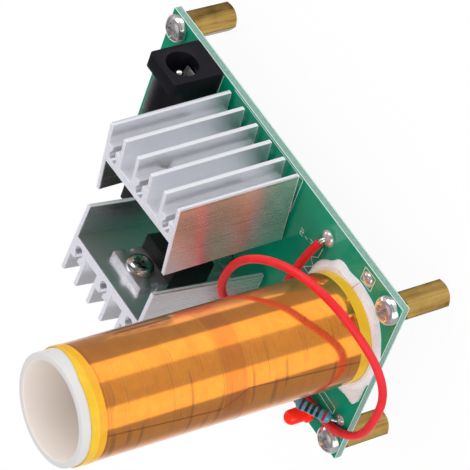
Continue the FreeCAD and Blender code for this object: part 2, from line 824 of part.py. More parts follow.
def resistor_body(node, frame):
    straight = "resistor_length - 2 * resistor_end_radius"
    solids = [rod("resistor_radius", straight, f"0 - ({straight}) / 2", "0", "0", towards_x)]
    for side in (-1, 1):
        end_x = f"({side} * (resistor_length / 2 - resistor_end_radius))"
        collar_x = f"{end_x} - {(side + 1) / 2} * resistor_collar"
        solids.append(ball("resistor_end_radius", end_x, "0", "0"))
        solids.append(rod("resistor_end_radius", "resistor_collar", collar_x, "0", "0", towards_x))
    subpart(node, join(*solids), frame)


def raised_resistor():
    # One lead is bent over and holds that end up; the other end almost meets the board.
    height = f"({board_top} + raised_resistor_height)"
    turn = "0; raised_resistor_tilt_angle; 0"
    resistor_body("resistor_a", place("raised_resistor_x", "raised_resistor_y", height, turn))
    low = number("standoff_length - lead_tail")
    y = number("raised_resistor_y")
    half = number("resistor_length / 2")
    middle = FreeCAD.Vector(number("raised_resistor_x"), y, number(height))
    angle = math.radians(number("raised_resistor_tilt_angle"))
    along = FreeCAD.Vector(math.cos(angle), 0, -math.sin(angle))
    elbow = middle - along * (half + number("raised_elbow"))
    near = (middle - along * half, elbow, (number("raised_near_hole_x"), y, low))
    knee = FreeCAD.Vector(number("raised_far_hole_x"), y, 0)
    knee.z = number(board_top) + number("raised_dome_height")
    far = (middle + along * half, knee, (knee.x, y, low))
    radius = number("resistor_lead_radius")
    bend = number("resistor_bend_radius")
    leads = [tube(points, radius, bend) for points in (near, far)]
    return subpart("resistor_a_leads", shaped(Part.makeCompound(leads)))


def flat_resistor():
    height = f"({board_top} + flat_resistor_height)"
    resistor_body("resistor_b", place("flat_resistor_x", "flat_resistor_y", height))
    x = number("flat_resistor_x")
    y = number("flat_resistor_y")
    axis = number(height)
    low = number("standoff_length - lead_tail")
    leads = []
    for side in (-1, 1):
        start = x + side * number("resistor_length / 2")
        hole = x + side * number("flat_resistor_span / 2")
        points = ((start, y, axis), (hole, y, axis), (hole, y, low))
        leads.append(tube(points, number("resistor_lead_radius"), number("resistor_bend_radius")))
    return subpart("resistor_b_leads", shaped(Part.makeCompound(leads)))


def capacitor():
    base = f"({board_top} + capacitor_lift)"
    end = "(capacitor_width / 2 - capacitor_thickness / 2)"
    middle = block("capacitor_thickness", f"2 * {end}", "capacitor_height", "capacitor_x", "capacitor_y", base)
    solids = [middle]
    leads = []
    for side in (-1, 1):
        end_y = f"capacitor_y + {side} * {end}"
        solids.append(rod("capacitor_thickness / 2", "capacitor_height", "capacitor_x", end_y, base))
        lead_y = f"capacitor_y + {side} * capacitor_lead_pitch / 2"
        reach = "capacitor_lift + board_thickness + lead_tail"
        leads.append(rod("capacitor_lead_radius", reach, "capacitor_x", lead_y, f"{base} - ({reach})"))
    subpart("capacitor_body", join(*solids))
    return subpart("capacitor_leads", group(*leads))


# Where leads go down through the board: x, y and the lead's half width
def upright_places():
    far = "sqrt(2) * led_lead_width / 2"
    flat = "resistor_lead_radius"
    places = [("square_pad_x", "square_pad_y", "winding_lead_radius")]
    for side in (-1, 1):
        places.append((f"led_x + {side} * led_lead_pitch / 2", "led_y", far))
        places.append((f"flat_resistor_x + {side} * flat_resistor_span / 2", "flat_resistor_y", flat))
        lead_y = f"capacitor_y + {side} * capacitor_lead_pitch / 2"
        places.append(("capacitor_x", lead_y, "capacitor_lead_radius"))
    places.append(("raised_near_hole_x", "raised_resistor_y", "resistor_lead_radius + lead_hole_clearance"))
    places.append(("raised_far_hole_x", "raised_resistor_y", flat))
    return places


def sink_places(letter):
    places = []
    for bay in (channel_bays[0], channel_bays[-1]):
        places.append((bay_middle(bay), f"{sink_outer} + channel_offset", "pin_tail_radius"))
    for step in (-1, 0, 1):
        lead_x = f"transistor_{letter}_offset + {step} * lead_pitch"
        places.append((lead_x, f"{sink_inner} - lead_setback", "sqrt(lead_width^2 + lead_thickness^2) / 2"))
    return places


def tag_places():
    # x, y, size along X, size along Y
    side_tag_x = "jack_x - jack_body_width / 2 - tag_thickness / 2"
    places = [
        ("jack_x", f"{jack_front} - jack_length - tag_thickness / 2", "tag_width", "tag_thickness"),
        ("jack_x", f"{leaf_root_y} - tag_gap - tag_thickness / 2", "tag_width", "tag_thickness"),
        (side_tag_x, f"{jack_front} - side_tag_depth", "tag_thickness", "tag_width"),
        ("audio_x", f"{audio_mouth} + sleeve_tag_depth", "pin_tag_width", "contact_thickness"),
    ]
    for name, side in (("tip", 1), ("ring", -1)):
        tag_x = f"audio_x + {side} * (contact_root + contact_thickness / 2)"
        tag_y = f"{contact_depth(name)} - tag_gap - pin_tag_width / 2"
        places.append((tag_x, tag_y, "contact_thickness", "pin_tag_width"))
    return places


def circuit_board(points):
    plain = block("board_length", "board_width", "board_thickness", "0", "0", "standoff_length")
    depth = "board_thickness + 2 * overrun"
    low = "standoff_length - overrun"
    holes = [rod("screw_hole_radius", depth, f"{x} * {mount_x}", f"{y} * {mount_y}", low) for x, y in corners]
    for x, y, radius in upright_places():
        holes.append(rod(f"{radius} + lead_hole_clearance", depth, x, y, low))
    for x, y, length, width in tag_places():
        slot_length = f"{length} + 2 * tag_clearance"
        slot_width = f"{width} + 2 * tag_clearance"
        holes.append(block(slot_length, slot_width, depth, x, y, low))
    for letter in "ab":
        reach = f"2 * {sink_rise(letter)} + board_thickness + 2 * overrun"
        tilted = [
            rod(f"{radius} + lead_hole_clearance", reach, x, y, f"0 - ({reach})")
            for x, y, radius in sink_places(letter)
        ]
        holes.append(group(*tilted, frame=sink_frame(letter)))
    holes.append(shaped(wire_cores(points, number("core_radius + lead_hole_clearance"))))
    subpart("circuit_board", cut(plain, *holes))


def solder_under(leads):
    # A cone round each tail, flush with the underside of the board.
    height = "joint_height + board_thickness / 2"
    low = "standoff_length - joint_height"
    cones = []
    for x, y, radius in upright_places():
        cones.append(cone("joint_tip_radius", "joint_radius", height, x, y, low))
    for x, y in (("first_pad_x", "first_pad_y"), ("last_pad_x", "last_pad_y")):
        cones.append(cone("joint_tip_radius", "joint_radius", height, x, y, low))
    for x, y, length, width in tag_places():
        wide = "joint_radius" if "pin_tag_width" in (length, width) else "tag_joint_radius"
        cones.append(cone("joint_tip_radius", wide, height, x, y, low))
    for letter in "ab":
        level = f"0 - {sink_rise(letter)} - board_thickness - joint_height"
        tilted = [
            cone("joint_tip_radius", "joint_radius", height, x, y, level)
            for x, y, radius in sink_places(letter)
        ]
        cones.append(group(*tilted, frame=sink_frame(letter)))
    slab = block("board_length", "board_width", "board_thickness", "0", "0", "standoff_length")
    subpart("solder_joints", cut(group(*cones), slab, *leads))


def solder_on_top(leads):
    domes = [
        dome("first_dome_radius", "first_dome_height", "first_pad_x", "first_pad_y"),
        dome("last_dome_radius", "last_dome_height", "last_pad_x", "last_pad_y"),
        dome("square_dome_radius", "square_dome_height", "square_pad_x", "square_pad_y"),
        dome("raised_dome_radius", "raised_dome_height", "raised_far_hole_x", "raised_resistor_y"),
    ]
    subpart("pad_solder", cut(group(*domes), *leads))


standoffs_and_screws()
pins = []
screws = []
sink_leads = []
for letter in "ab":
    heat_sink(letter)
    sink_leads.append(transistor(letter))
    pins.append(sink_pins(letter))
    screws.append(transistor_screw(letter))
sink_pin_group = subpart("heat_sink_pins", group(*pins))
subpart("transistor_screws", group(*screws))
power_socket()
power_leaf()
audio_socket()
coil()
lead = winding_lead()
coil_glue(lead)
route_points = primary_wire()
cores = subpart("primary_wire_ends", shaped(wire_cores(route_points, number("core_radius"))))
lamp_leads = lamp()
raised_leads = raised_resistor()
flat_leads = flat_resistor()
capacitor_leads = capacitor()
circuit_board(route_points)
named = {piece.Label: piece for piece in subparts}
socket_tags = [named["dc_jack_terminals"], named["audio_jack_terminals"], named["audio_jack_sleeve"]]
wire_leads = [lead, cores, lamp_leads, raised_leads, flat_leads, capacitor_leads]
solder_under([sink_pin_group, *sink_leads, *socket_tags, *wire_leads])
solder_on_top([cores, lead, raised_leads])

doc.recompute()

for piece in doc.Objects:
    if "Invalid" in piece.State or "Error" in piece.State:
        raise RuntimeError(f"{piece.Label} ({piece.Name}) did not build: {piece.State}")
for piece in subparts:
    if piece.Shape.isNull() or not piece.Shape.isValid() or not piece.Shape.Solids:
        raise RuntimeError(f"{piece.Label} has no valid solid")

os.makedirs("parts", exist_ok=True)
for piece in subparts:
    piece.Shape.exportStep(f"parts/{piece.Label}.step")
    print(piece.Label, len(piece.Shape.Solids), "solids")
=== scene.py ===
import math

import bmesh
import bpy
from mathutils import Euler, Matrix, Vector


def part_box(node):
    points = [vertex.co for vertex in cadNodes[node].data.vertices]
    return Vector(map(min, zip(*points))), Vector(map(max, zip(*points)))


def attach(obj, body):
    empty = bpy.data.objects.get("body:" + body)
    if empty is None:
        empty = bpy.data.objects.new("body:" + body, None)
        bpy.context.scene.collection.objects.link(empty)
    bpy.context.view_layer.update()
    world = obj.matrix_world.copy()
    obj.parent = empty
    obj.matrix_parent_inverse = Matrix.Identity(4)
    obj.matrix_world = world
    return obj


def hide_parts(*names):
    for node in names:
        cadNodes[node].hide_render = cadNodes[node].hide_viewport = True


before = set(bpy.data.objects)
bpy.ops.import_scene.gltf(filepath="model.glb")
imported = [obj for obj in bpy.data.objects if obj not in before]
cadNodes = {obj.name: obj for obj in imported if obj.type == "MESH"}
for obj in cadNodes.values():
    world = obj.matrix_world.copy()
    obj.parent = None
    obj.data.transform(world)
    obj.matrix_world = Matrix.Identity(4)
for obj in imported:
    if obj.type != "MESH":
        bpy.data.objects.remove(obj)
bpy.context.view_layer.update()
mm = 0.001
bodyName = "chassis"
boardLow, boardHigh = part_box("circuit_board")
boardTop = boardHigh.z
print("frame loaded:", len(cadNodes), "nodes")


# Modelling helpers

orderPoint = (0.0213, 0.0371, -0.0517)   # off every axis, so no two points are as far from it


def choose(piece):
    bpy.ops.object.select_all(action="DESELECT")
    piece.select_set(True)
    bpy.context.view_layer.objects.active = piece


def startEdit(piece, kind="FACE", everything=False):
    choose(piece)
    bpy.ops.object.mode_set(mode="EDIT")
    bpy.ops.mesh.select_mode(type=kind)
    bpy.ops.mesh.select_all(action="SELECT" if everything else "DESELECT")


def endEdit():
    bpy.ops.object.mode_set(mode="OBJECT")


def applyPlace():
    bpy.ops.object.transform_apply(location=True, rotation=True, scale=True)


def pickFaces(piece, test):
    mesh = bmesh.from_edit_mesh(piece.data)
    for face in mesh.faces:
        face.select_set(bool(test(face.calc_center_median(), face.normal)))
    bmesh.update_edit_mesh(piece.data)


def pickVertices(piece, test):
    startEdit(piece, "VERT")
    mesh = bmesh.from_edit_mesh(piece.data)
    for vertex in mesh.verts:
        vertex.select_set(test(vertex.co))
    mesh.select_flush(True)
    bmesh.update_edit_mesh(piece.data)


def applyModifier(piece, kind, **settings):
    choose(piece)
    modifier = piece.modifiers.new(kind.title(), kind)
    for setting, value in settings.items():
        setattr(modifier, setting, value)
    bpy.ops.object.modifier_apply(modifier=modifier.name)


def bevelEdges(piece, width, segments=2, angle=30):
    applyModifier(piece, "BEVEL", width=width, segments=segments, limit_method="ANGLE",
                  angle_limit=math.radians(angle), use_clamp_overlap=True)


def combine(piece, other, operation="DIFFERENCE"):
    applyModifier(piece, "BOOLEAN", object=other, operation=operation, solver="EXACT")
    bpy.data.objects.remove(other)
    return piece


def leanTo(direction):
    return Vector((0, 0, 1)).rotation_difference(direction).to_matrix().to_4x4()


def spun(angle, axis="Z"):
    return Matrix.Rotation(math.radians(angle), 4, axis)


def overMiddle(low, high, height):
    return Matrix.Translation(((low.x + high.x) / 2, (low.y + high.y) / 2, height))


def cutAbove(piece, height, slope, azimuth, reach):
    # all over a leaning plane is taken away: the plane rises by the slope towards the azimuth
    lean = math.radians(azimuth)
    upright = Vector((-slope * math.cos(lean), -slope * math.sin(lean), 1))
    lid = addBlock("lid", (-reach, -reach, 0), (reach, reach, reach))
    placeBy(lid, Matrix.Translation((0, 0, height)) @ leanTo(upright))
    return combine(piece, lid)


def addPrimitive(name, addShape, **measures):
    bpy.ops.object.select_all(action="DESELECT")
    addShape(**measures)
    piece = bpy.context.object
    piece.name = name
    return piece


def addBlock(name, low, high):
    low, high = Vector(low), Vector(high)
    piece = addPrimitive(name, bpy.ops.mesh.primitive_cube_add, size=1, location=(low + high) / 2)
    piece.scale = high - low
    applyPlace()
    return piece


def addRound(name, sides, radius, low, high):
    piece = addPrimitive(name, bpy.ops.mesh.primitive_cylinder_add, vertices=sides, radius=radius, depth=high - low,
                         location=(0, 0, (low + high) / 2))
    applyPlace()
    return piece


def settleOrder():
    # extruding leaves points in an order that changes from run to run: sorted by distance, it stays the same
    bpy.context.scene.cursor.location = orderPoint
    bpy.ops.mesh.select_all(action="SELECT")
    bpy.ops.mesh.sort_elements(type="CURSOR_DISTANCE", elements={"VERT", "EDGE", "FACE"})


def addTurned(name, profile, sides=64):
    # profile: radius and height pairs, from the foot up, as a lathe would turn them
    (footRadius, footHeight), (radius, height), *rest = profile
    piece = addRound(name, sides, footRadius, footHeight, height)
    startEdit(piece)
    pickFaces(piece, lambda centre, normal: normal.z > 0.9)
    bpy.ops.transform.resize(value=(radius / footRadius, radius / footRadius, 1), center_override=(0, 0, height))
    for newRadius, newHeight in rest:
        bpy.ops.mesh.extrude_region_move(TRANSFORM_OT_translate={"value": (0, 0, newHeight - height)})
        share = newRadius / radius
        bpy.ops.transform.resize(value=(share, share, 1), center_override=(0, 0, newHeight))
        radius, height = newRadius, newHeight
    settleOrder()
    endEdit()
    return piece


def domeOver(radius, foot, rise, steps, spare=0.4, power=1):
    # profile of a dome that stays a little open at its top; the lower the power, the flatter
    angles = [step / (steps + spare) * math.pi / 2 for step in range(1, steps + 1)]
    return [(radius * math.cos(angle) ** power, foot + rise * math.sin(angle)) for angle in angles]


def addSleeve(name, innerRadius, outerRadius, low, high, sides=128):
    piece = addRound(name, sides, outerRadius, low, high)
    startEdit(piece)
    pickFaces(piece, lambda centre, normal: abs(normal.z) > 0.9)
    bpy.ops.mesh.inset(thickness=outerRadius - innerRadius, use_individual=True)
    bpy.ops.mesh.bridge_edge_loops()
    endEdit()
    return piece


def placeBy(piece, matrix):
    piece.matrix_world = matrix @ piece.matrix_world
    choose(piece)
    applyPlace()
    return piece


def joinPieces(name, pieces):
    bpy.ops.object.select_all(action="DESELECT")
    for piece in pieces:
        piece.select_set(True)
    bpy.context.view_layer.objects.active = pieces[0]
    bpy.ops.object.join()
    pieces[0].name = name
    return pieces[0]


def copyOf(piece, matrix):
    twin = piece.copy()
    twin.data = piece.data.copy()
    bpy.context.scene.collection.objects.link(twin)
    return placeBy(twin, matrix)


def cadCopy(node, name, flatness=0.5):
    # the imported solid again, its loose triangles merged and its flat faces made whole
    piece = bpy.data.objects.new(name, cadNodes[node].data.copy())
    bpy.context.scene.collection.objects.link(piece)
    startEdit(piece, "VERT", everything=True)
    bpy.ops.mesh.remove_doubles(threshold=0.002 * mm)
    bpy.ops.mesh.customdata_custom_splitnormals_clear()
    bpy.ops.mesh.dissolve_limited(angle_limit=math.radians(flatness))
    endEdit()
    return piece


def finishPiece(piece, material, replaced=(), body=bodyName, smoothAngle=35):
    choose(piece)
    applyPlace()
    bpy.ops.object.shade_smooth_by_angle(angle=math.radians(smoothAngle))
    piece.data.materials.clear()
    piece.data.materials.append(material)
    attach(piece, body)
    if replaced:
        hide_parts(*replaced)
    return piece


def dressNode(node, material):
    mesh = cadNodes[node].data
    mesh.materials.clear()
    mesh.materials.append(material)


def cornersOf(places):
    # the lowest and the highest corner of a box round some places
    return [Vector([end(place[axis] for place in places) for axis in range(3)]) for end in (min, max)]


def looseBoxes(node):
    # a box for each separate solid in a node
    piece = cadCopy(node, "measure")
    choose(piece)
    bpy.ops.mesh.separate(type="LOOSE")
    boxes = []
    for part in list(bpy.context.selected_objects):
        boxes.append(cornersOf([vertex.co for vertex in part.data.vertices]))
        bpy.data.objects.remove(part)
    return sorted(boxes, key=lambda box: tuple(box[0]))


# Camera, fitted to the photograph

cameraView = {
    "place": (0.265525, 0.385831, 0.307195),
    "turn": (-23.905, 54.694, 26.917),
    "lens": 231.72,
    "sensor": 36.0,
}
bpy.ops.object.camera_add(location=cameraView["place"],
                          rotation=[math.radians(angle) for angle in cameraView["turn"]])
camera = bpy.context.object
camera.data.lens = cameraView["lens"]
camera.data.sensor_width = cameraView["sensor"]
camera.data.clip_start = 0.01
bpy.context.scene.camera = camera
bpy.context.scene.view_settings.view_transform = "Standard"


# Node helpers

def newTree(name):
    material = bpy.data.materials.new(name)
    material.use_nodes = True
    tree = material.node_tree
    tree.nodes.clear()
    return material, tree


def addNode(tree, kind, values=None, **settings):
    node = tree.nodes.new("ShaderNode" + kind)
    for setting, value in settings.items():
        setattr(node, setting, value)
    for socket, value in (values or {}).items():
        target = node.inputs[socket]
        if isinstance(value, bpy.types.NodeSocket):
            tree.links.new(value, target)
        else:
            target.default_value = value
    return node


def maths(tree, operation, *terms):
    return addNode(tree, "Math", dict(enumerate(terms)), operation=operation).outputs[0]


def offsetFrom(tree, value, middle):
    return maths(tree, "ABSOLUTE", maths(tree, "SUBTRACT", value, middle))


def mapRange(tree, value, fromMin, fromMax, toMin=0.0, toMax=1.0, **settings):
    return addNode(tree, "MapRange", {"Value": value, "From Min": fromMin, "From Max": fromMax, "To Min": toMin,
                                      "To Max": toMax}, **settings).outputs[0]


def mix(tree, factor, first, second, kind="RGBA", **settings):
    node = addNode(tree, "Mix", {"Factor": factor, "A": first, "B": second}, data_type=kind, **settings)
    return node.outputs["Result"]


def splitAxes(tree, place):
    parts = addNode(tree, "SeparateXYZ", {"Vector": place})
    return [parts.outputs[axis] for axis in "XYZ"]


def ramp(tree, factor, stops, mode="LINEAR"):
    # stops: position and colour or grey value
    node = addNode(tree, "ValToRGB", {"Fac": factor})
    node.color_ramp.interpolation = mode
    elements = node.color_ramp.elements
    while len(elements) < len(stops):
        elements.new(0.5)
    for element, (position, colour) in zip(elements, stops):
        element.position = position
        element.color = (*colour, 1) if hasattr(colour, "__len__") else (colour, colour, colour, 1)
    return node.outputs["Color"]


def toSurface(tree, result, kind="OutputMaterial"):
    tree.links.new(result, addNode(tree, kind).inputs["Surface"])


def principled(tree, base, rough, normal, **others):
    # the others are named as the shader's inputs are, with _ for a space
    values = {"Base Color": base, "Roughness": rough, "Normal": normal}
    for socket, value in others.items():
        values[socket.replace("_", " ")] = value
    toSurface(tree, addNode(tree, "BsdfPrincipled", values).outputs["BSDF"])


def objectCoordinates(tree, centre=(0, 0, 0), turn=(0, 0, 0)):
    coordinates = addNode(tree, "TexCoord").outputs["Object"]
    return addNode(tree, "Mapping", {"Vector": coordinates, "Location": centre, "Rotation": turn},
                   vector_type="TEXTURE").outputs["Vector"]


def newGroup(name, inputs):
    # all groups take a place and a relief, and give a value about 0.5 and the relief's normal
    group = bpy.data.node_groups.new(name, "ShaderNodeTree")
    group.interface.new_socket(name="Vector", in_out="INPUT", socket_type="NodeSocketVector")
    for label, value in (*inputs, ("Relief", 0.1)):
        group.interface.new_socket(name=label, in_out="INPUT", socket_type="NodeSocketFloat").default_value = value
    group.interface.new_socket(name="Value", in_out="OUTPUT", socket_type="NodeSocketFloat")
    group.interface.new_socket(name="Normal", in_out="OUTPUT", socket_type="NodeSocketVector")
    return group, group.nodes.new("NodeGroupInput").outputs


def endGroup(group, inside, noise, depth):
    outside = group.nodes.new("NodeGroupOutput")
    bump = addNode(group, "Bump", {"Strength": inside["Relief"], "Distance": depth, "Height": noise.outputs["Fac"]})
    group.links.new(noise.outputs["Fac"], outside.inputs["Value"])
    group.links.new(bump.outputs["Normal"], outside.inputs["Normal"])
    return group


def useGroup(tree, group, **values):
    node = addNode(tree, "Group", values, node_tree=group)
    return node.outputs["Value"], node.outputs["Normal"]


def makeGrainGroup():
    # fine uneven grain
    group, inside = newGroup("fineGrain", [("Scale", 900.0)])
    noise = addNode(group, "TexNoise", {"Vector": inside["Vector"], "Scale": inside["Scale"], "Detail": 4.0,
                                        "Roughness": 0.6})
    return endGroup(group, inside, noise, 0.05 * mm)


def makeStreakGroup():
    # long fine lines along Z, as a die or a lathe leaves them
    group, inside = newGroup("drawnLines", [("Across", 3000.0), ("Along", 30.0)])
    x, y, z = splitAxes(group, inside["Vector"])
    stretched = addNode(group, "CombineXYZ", {"X": maths(group, "MULTIPLY", x, inside["Across"]),
                                              "Y": maths(group, "MULTIPLY", y, inside["Across"]),
                                              "Z": maths(group, "MULTIPLY", z, inside["Along"])})
    noise = addNode(group, "TexNoise", {"Vector": stretched.outputs[0], "Scale": 1.0, "Detail": 3.0, "Roughness": 0.65})
    return endGroup(group, inside, noise, 0.03 * mm)


fineGrain = makeGrainGroup()
drawnLines = makeStreakGroup()


def grainAt(tree, scale, relief=0.0, place=None):
    if place is None:
        place = objectCoordinates(tree)
    return useGroup(tree, fineGrain, Vector=place, Scale=scale, Relief=relief)


def plainMaterial(name, colour, darker, roughness, scale=900.0, relief=0.08, **shaderValues):
    # a colour that varies a little between two shades, with a fine relief
    material, tree = newTree(name)
    grain, normal = grainAt(tree, scale, relief)
    base = ramp(tree, grain, [(0.3, darker), (0.7, colour)])
    rough = ramp(tree, grain, [(0.3, roughness * 0.8), (0.7, roughness * 1.2)])
    principled(tree, base, rough, normal, **{"Specular_IOR_Level": 0.35, **shaderValues})
    return material


# Studio: a white floor that keeps a soft shadow, two soft lamps and a pale world

studio = {
    "floorSize": 3.0,
    "floorColour": (0.9, 0.9, 0.91),
    "floorWhiteShare": 0.94,
    "surround": 1.02,
    "mirrorStrength": 1.45,
    "lamps": (
        {"azimuth": 120, "height": 0.30, "distance": 0.75, "width": 0.5, "tall": 0.7, "power": 1.5},
        {"azimuth": 10, "height": 0.30, "distance": 0.75, "width": 0.5, "tall": 0.7, "power": 1.1},
    ),
    # what metal sees, by azimuth from -180 to 180 degrees as shares of a turn: low round the table, and above it
    "low": ((0.0, 0.2), (0.06, 0.25), (0.12, 0.7), (0.22, 0.7), (0.27, 0.4), (0.31, 0.22), (0.4605, 0.21),
            (0.471, 1.0), (0.580, 1.0), (0.590, 0.36), (0.7195, 0.42), (0.7295, 1.0), (0.834, 1.0), (0.8435, 0.22),
            (0.96, 0.2), (1.0, 0.2)),
    "high": ((0.0, 0.15), (0.06, 0.05), (0.25, 0.05), (0.31, 0.3), (0.44, 0.2), (0.46, 1.0), (0.54, 1.0), (0.56, 0.12),
             (0.75, 0.12), (0.78, 1.0), (0.85, 1.0), (0.87, 0.15), (0.93, 0.5), (1.0, 0.15)),
    "ceiling": ((0.0, 1.0), (0.55, 1.0), (0.66, 0.1), (0.90, 0.1), (0.96, 0.35), (1.0, 0.35)),
}


def makeFloor():
    floor = addPrimitive("studioFloor", bpy.ops.mesh.primitive_plane_add, size=studio["floorSize"], location=(0, 0, 0))
    material, tree = newTree("floorPaper")
    shade = [channel * 0.99 for channel in studio["floorColour"]]
    colour = ramp(tree, grainAt(tree, 40.0)[0], [(0.3, shade), (0.7, studio["floorColour"])])
    paper = addNode(tree, "BsdfDiffuse", {"Color": colour})
    white = addNode(tree, "Emission", {"Color": (1, 1, 1, 1), "Strength": 1.0})
    path = addNode(tree, "LightPath")
    seen = maths(tree, "MAXIMUM", path.outputs["Is Camera Ray"], path.outputs["Is Transmission Ray"])
    share = maths(tree, "MULTIPLY", seen, studio["floorWhiteShare"])
    toSurface(tree, addNode(tree, "MixShader", {0: share, 1: paper.outputs[0], 2: white.outputs[0]}).outputs[0])
    floor.data.materials.append(material)
    floor.visible_glossy = False  # metal sees the world below it, as over a clear table


def makeLamps():
    for lamp in studio["lamps"]:
        azimuth = math.radians(lamp["azimuth"])
        place = Vector((math.cos(azimuth) * lamp["distance"], math.sin(azimuth) * lamp["distance"], lamp["height"]))
        bpy.ops.object.light_add(type="AREA", location=place)
        light = bpy.context.object
        light.data.shape = "RECTANGLE"
        light.data.size = lamp["width"]
        light.data.size_y = lamp["tall"]
        light.data.energy = lamp["power"]
        aim = Vector((0, 0, 30 * mm)) - place
        light.rotation_euler = aim.to_track_quat("-Z", "Y").to_euler()


def makeWorld():
    # two bright sides that metal shows as long bands, greys between, dark above and behind
    world = bpy.data.worlds.new("studioWorld")
    bpy.context.scene.world = world
    world.use_nodes = True
    tree = world.node_tree
    tree.nodes.clear()
    x, y, z = splitAxes(tree, addNode(tree, "TexCoord").outputs["Generated"])
    turn = mapRange(tree, maths(tree, "ARCTAN2", y, x), -math.pi, math.pi)
    above = mapRange(tree, z, 0.02, 0.2, interpolation_type="SMOOTHSTEP")
    walls = mix(tree, above, ramp(tree, turn, studio["low"]), ramp(tree, turn, studio["high"]))
    lifted = mix(tree, mapRange(tree, z, 0.55, 0.66), walls, ramp(tree, z, studio["ceiling"]))
    path = addNode(tree, "LightPath")
    mirrored = addNode(tree, "Background", {"Color": lifted, "Strength": studio["mirrorStrength"]})
    soft = addNode(tree, "Background", {"Color": (1, 1, 1, 1), "Strength": studio["surround"]})
    white = addNode(tree, "Background", {"Color": (1, 1, 1, 1), "Strength": 1.0})
    glossy = addNode(tree, "MixShader", {0: path.outputs["Is Glossy Ray"], 1: soft.outputs[0], 2: mirrored.outputs[0]})
    seen = addNode(tree, "MixShader", {0: path.outputs["Is Camera Ray"], 1: glossy.outputs[0], 2: white.outputs[0]})
    toSurface(tree, seen.outputs[0], "OutputWorld")


makeFloor()
makeLamps()
makeWorld()
print("studio ready")


# Primary wire: the loose red loop, through the same points as the solid

wire = {
    "radius": 0.775 * mm,
    "length": 0.1379,
    "points": (
        (16.65, 15.1, 1.35),
        (15.5, 11.3, 1.8),
        (15.0, 5.8, 2.9),
        (14.7, -1.7, 3.8),
        (16.9, -8.7, 4.2),
        (22.4, -13.9, 3.3),
        (29.35, -15.3, 0.95),
        (37.1, -14.45, 1.1),
        (42.6, -9.7, 0.95),
        (44.6, -2.2, 1.5),
        (44.9, 5.4, 2.3),
        (41.9, 11.1, 4.1),
        (37.1, 16.5, 7.7),
        (31.3, 19.6, 10.5),
        (24.1, 19.6, 12.6),
        (17.6, 16.9, 14.6),
        (12.6, 11.2, 15.4),
        (11.0, 4.3, 15.5),
        (11.2, -0.7, 14.0),
        (11.8, -4.0, 10.4),
        (12.3, -5.5, 6.3),
        (12.5, -5.6, 2.6),
    ),
}


def makeWire(material):
    curve = bpy.data.curves.new("primaryWire", "CURVE")
    curve.dimensions = "3D"
    curve.bevel_depth = wire["radius"]
    curve.bevel_resolution = 8
    curve.resolution_u = 16
    curve.use_fill_caps = True
    spline = curve.splines.new("NURBS")
    spline.points.add(len(wire["points"]) - 1)
    for point, (x, y, height) in zip(spline.points, wire["points"]):
        point.co = (x * mm, y * mm, height * mm + boardTop, 1)
    spline.order_u = 3
    spline.use_endpoint_u = True
    piece = bpy.data.objects.new("primaryWire", curve)
    bpy.context.scene.collection.objects.link(piece)
    curve.materials.append(material)
    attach(piece, bodyName)
    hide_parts("primary_wire")
    x, y, height = wire["points"][0]
    return piece


redInsulation = plainMaterial("redInsulation", (0.84, 0.014, 0.024), (0.72, 0.010, 0.016), 0.4, scale=400.0,
                              relief=0.03)
makeWire(redInsulation)
print("wire laid")


# Metals

def localBox(node, turn, keep=lambda place: True):
    # a node's corners in a frame turned like the sink that carries it
    back = Euler(turn).to_matrix().inverted()
    return cornersOf([back @ vertex.co for vertex in cadNodes[node].data.vertices if keep(vertex.co)])


def turnedBy(turn):
    return Euler(turn).to_matrix().to_4x4()


bar = {
    "webShare": 0.47,   # of the depth, from the flanges' rims to the web
    "webMetal": 1.0,
    "finMetal": 0.86,
    "finRoughness": 0.30,
    "tipMetal": 0.45,
    "sawnMetal": 0.3,
    "sawnRoughness": 0.6,
    "outerLayer": (0, 0.2 * mm, 0.2 * mm),    # axis of the bar's own frame, depth of the layer, length of its fade
    "tipLayer": (1, 0.06 * mm, 0.06 * mm),
    "sawnLayer": (2, 0.18 * mm, 0.08 * mm),
    "webFade": 0.1 * mm,
}


def makeAluminium(name, node, turn, scuff):
    # extruded bar with die lines along it; the sawn ends are matt and paler, the outermost faces scuffed
    material, tree = newTree(name)
    along = objectCoordinates(tree, turn=turn)
    lines, normal = useGroup(tree, drawnLines, Vector=along, Across=5000.0, Along=4.0, Relief=0.02)
    broad = useGroup(tree, drawnLines, Vector=along, Across=700.0, Along=5.0, Relief=0.0)[0]
    drawn = ramp(tree, lines, [(0.25, (0.90, 0.91, 0.96)), (0.6, (0.96, 0.965, 1.0)), (0.75, (0.98, 0.985, 1.0))])
    low, high = localBox(node, turn)
    parts = splitAxes(tree, along)

    def nearEnd(axis, depth, fade):
        # 1 in the outermost layer at both ends of an axis of the bar's own frame
        half = (high[axis] - low[axis]) / 2
        return mapRange(tree, offsetFrom(tree, parts[axis], (low[axis] + high[axis]) / 2), half - depth - fade,
                        half - depth)

    def blend(factor, first, second):
        return mix(tree, factor, first, second, "FLOAT")

    outer, tips, sawn = (nearEnd(*bar[layer]) for layer in ("outerLayer", "tipLayer", "sawnLayer"))
    web = low.y + (high.y - low.y) * bar["webShare"]
    finned = mapRange(tree, parts[1], web - bar["webFade"], web + bar["webFade"])
    cut = ramp(tree, grainAt(tree, 1800.0, place=along)[0], [(0.3, (0.76, 0.76, 0.84)), (0.7, (0.86, 0.86, 0.94))])
    shine = mapRange(tree, broad, 0.3, 0.7, 0.24, 0.30)
    rough = blend(sawn, blend(outer, blend(finned, shine, bar["finRoughness"]), shine), bar["sawnRoughness"])
    worn = mapRange(tree, lines, 0.35, 0.65, 1 - scuff * 0.6, 1 - scuff * 1.4)
    fins = blend(finned, bar["webMetal"], bar["finMetal"])
    metal = blend(sawn, blend(outer, blend(tips, fins, bar["tipMetal"]), worn), bar["sawnMetal"])
    principled(tree, mix(tree, sawn, drawn, cut), rough, normal, Metallic=metal)
    return material


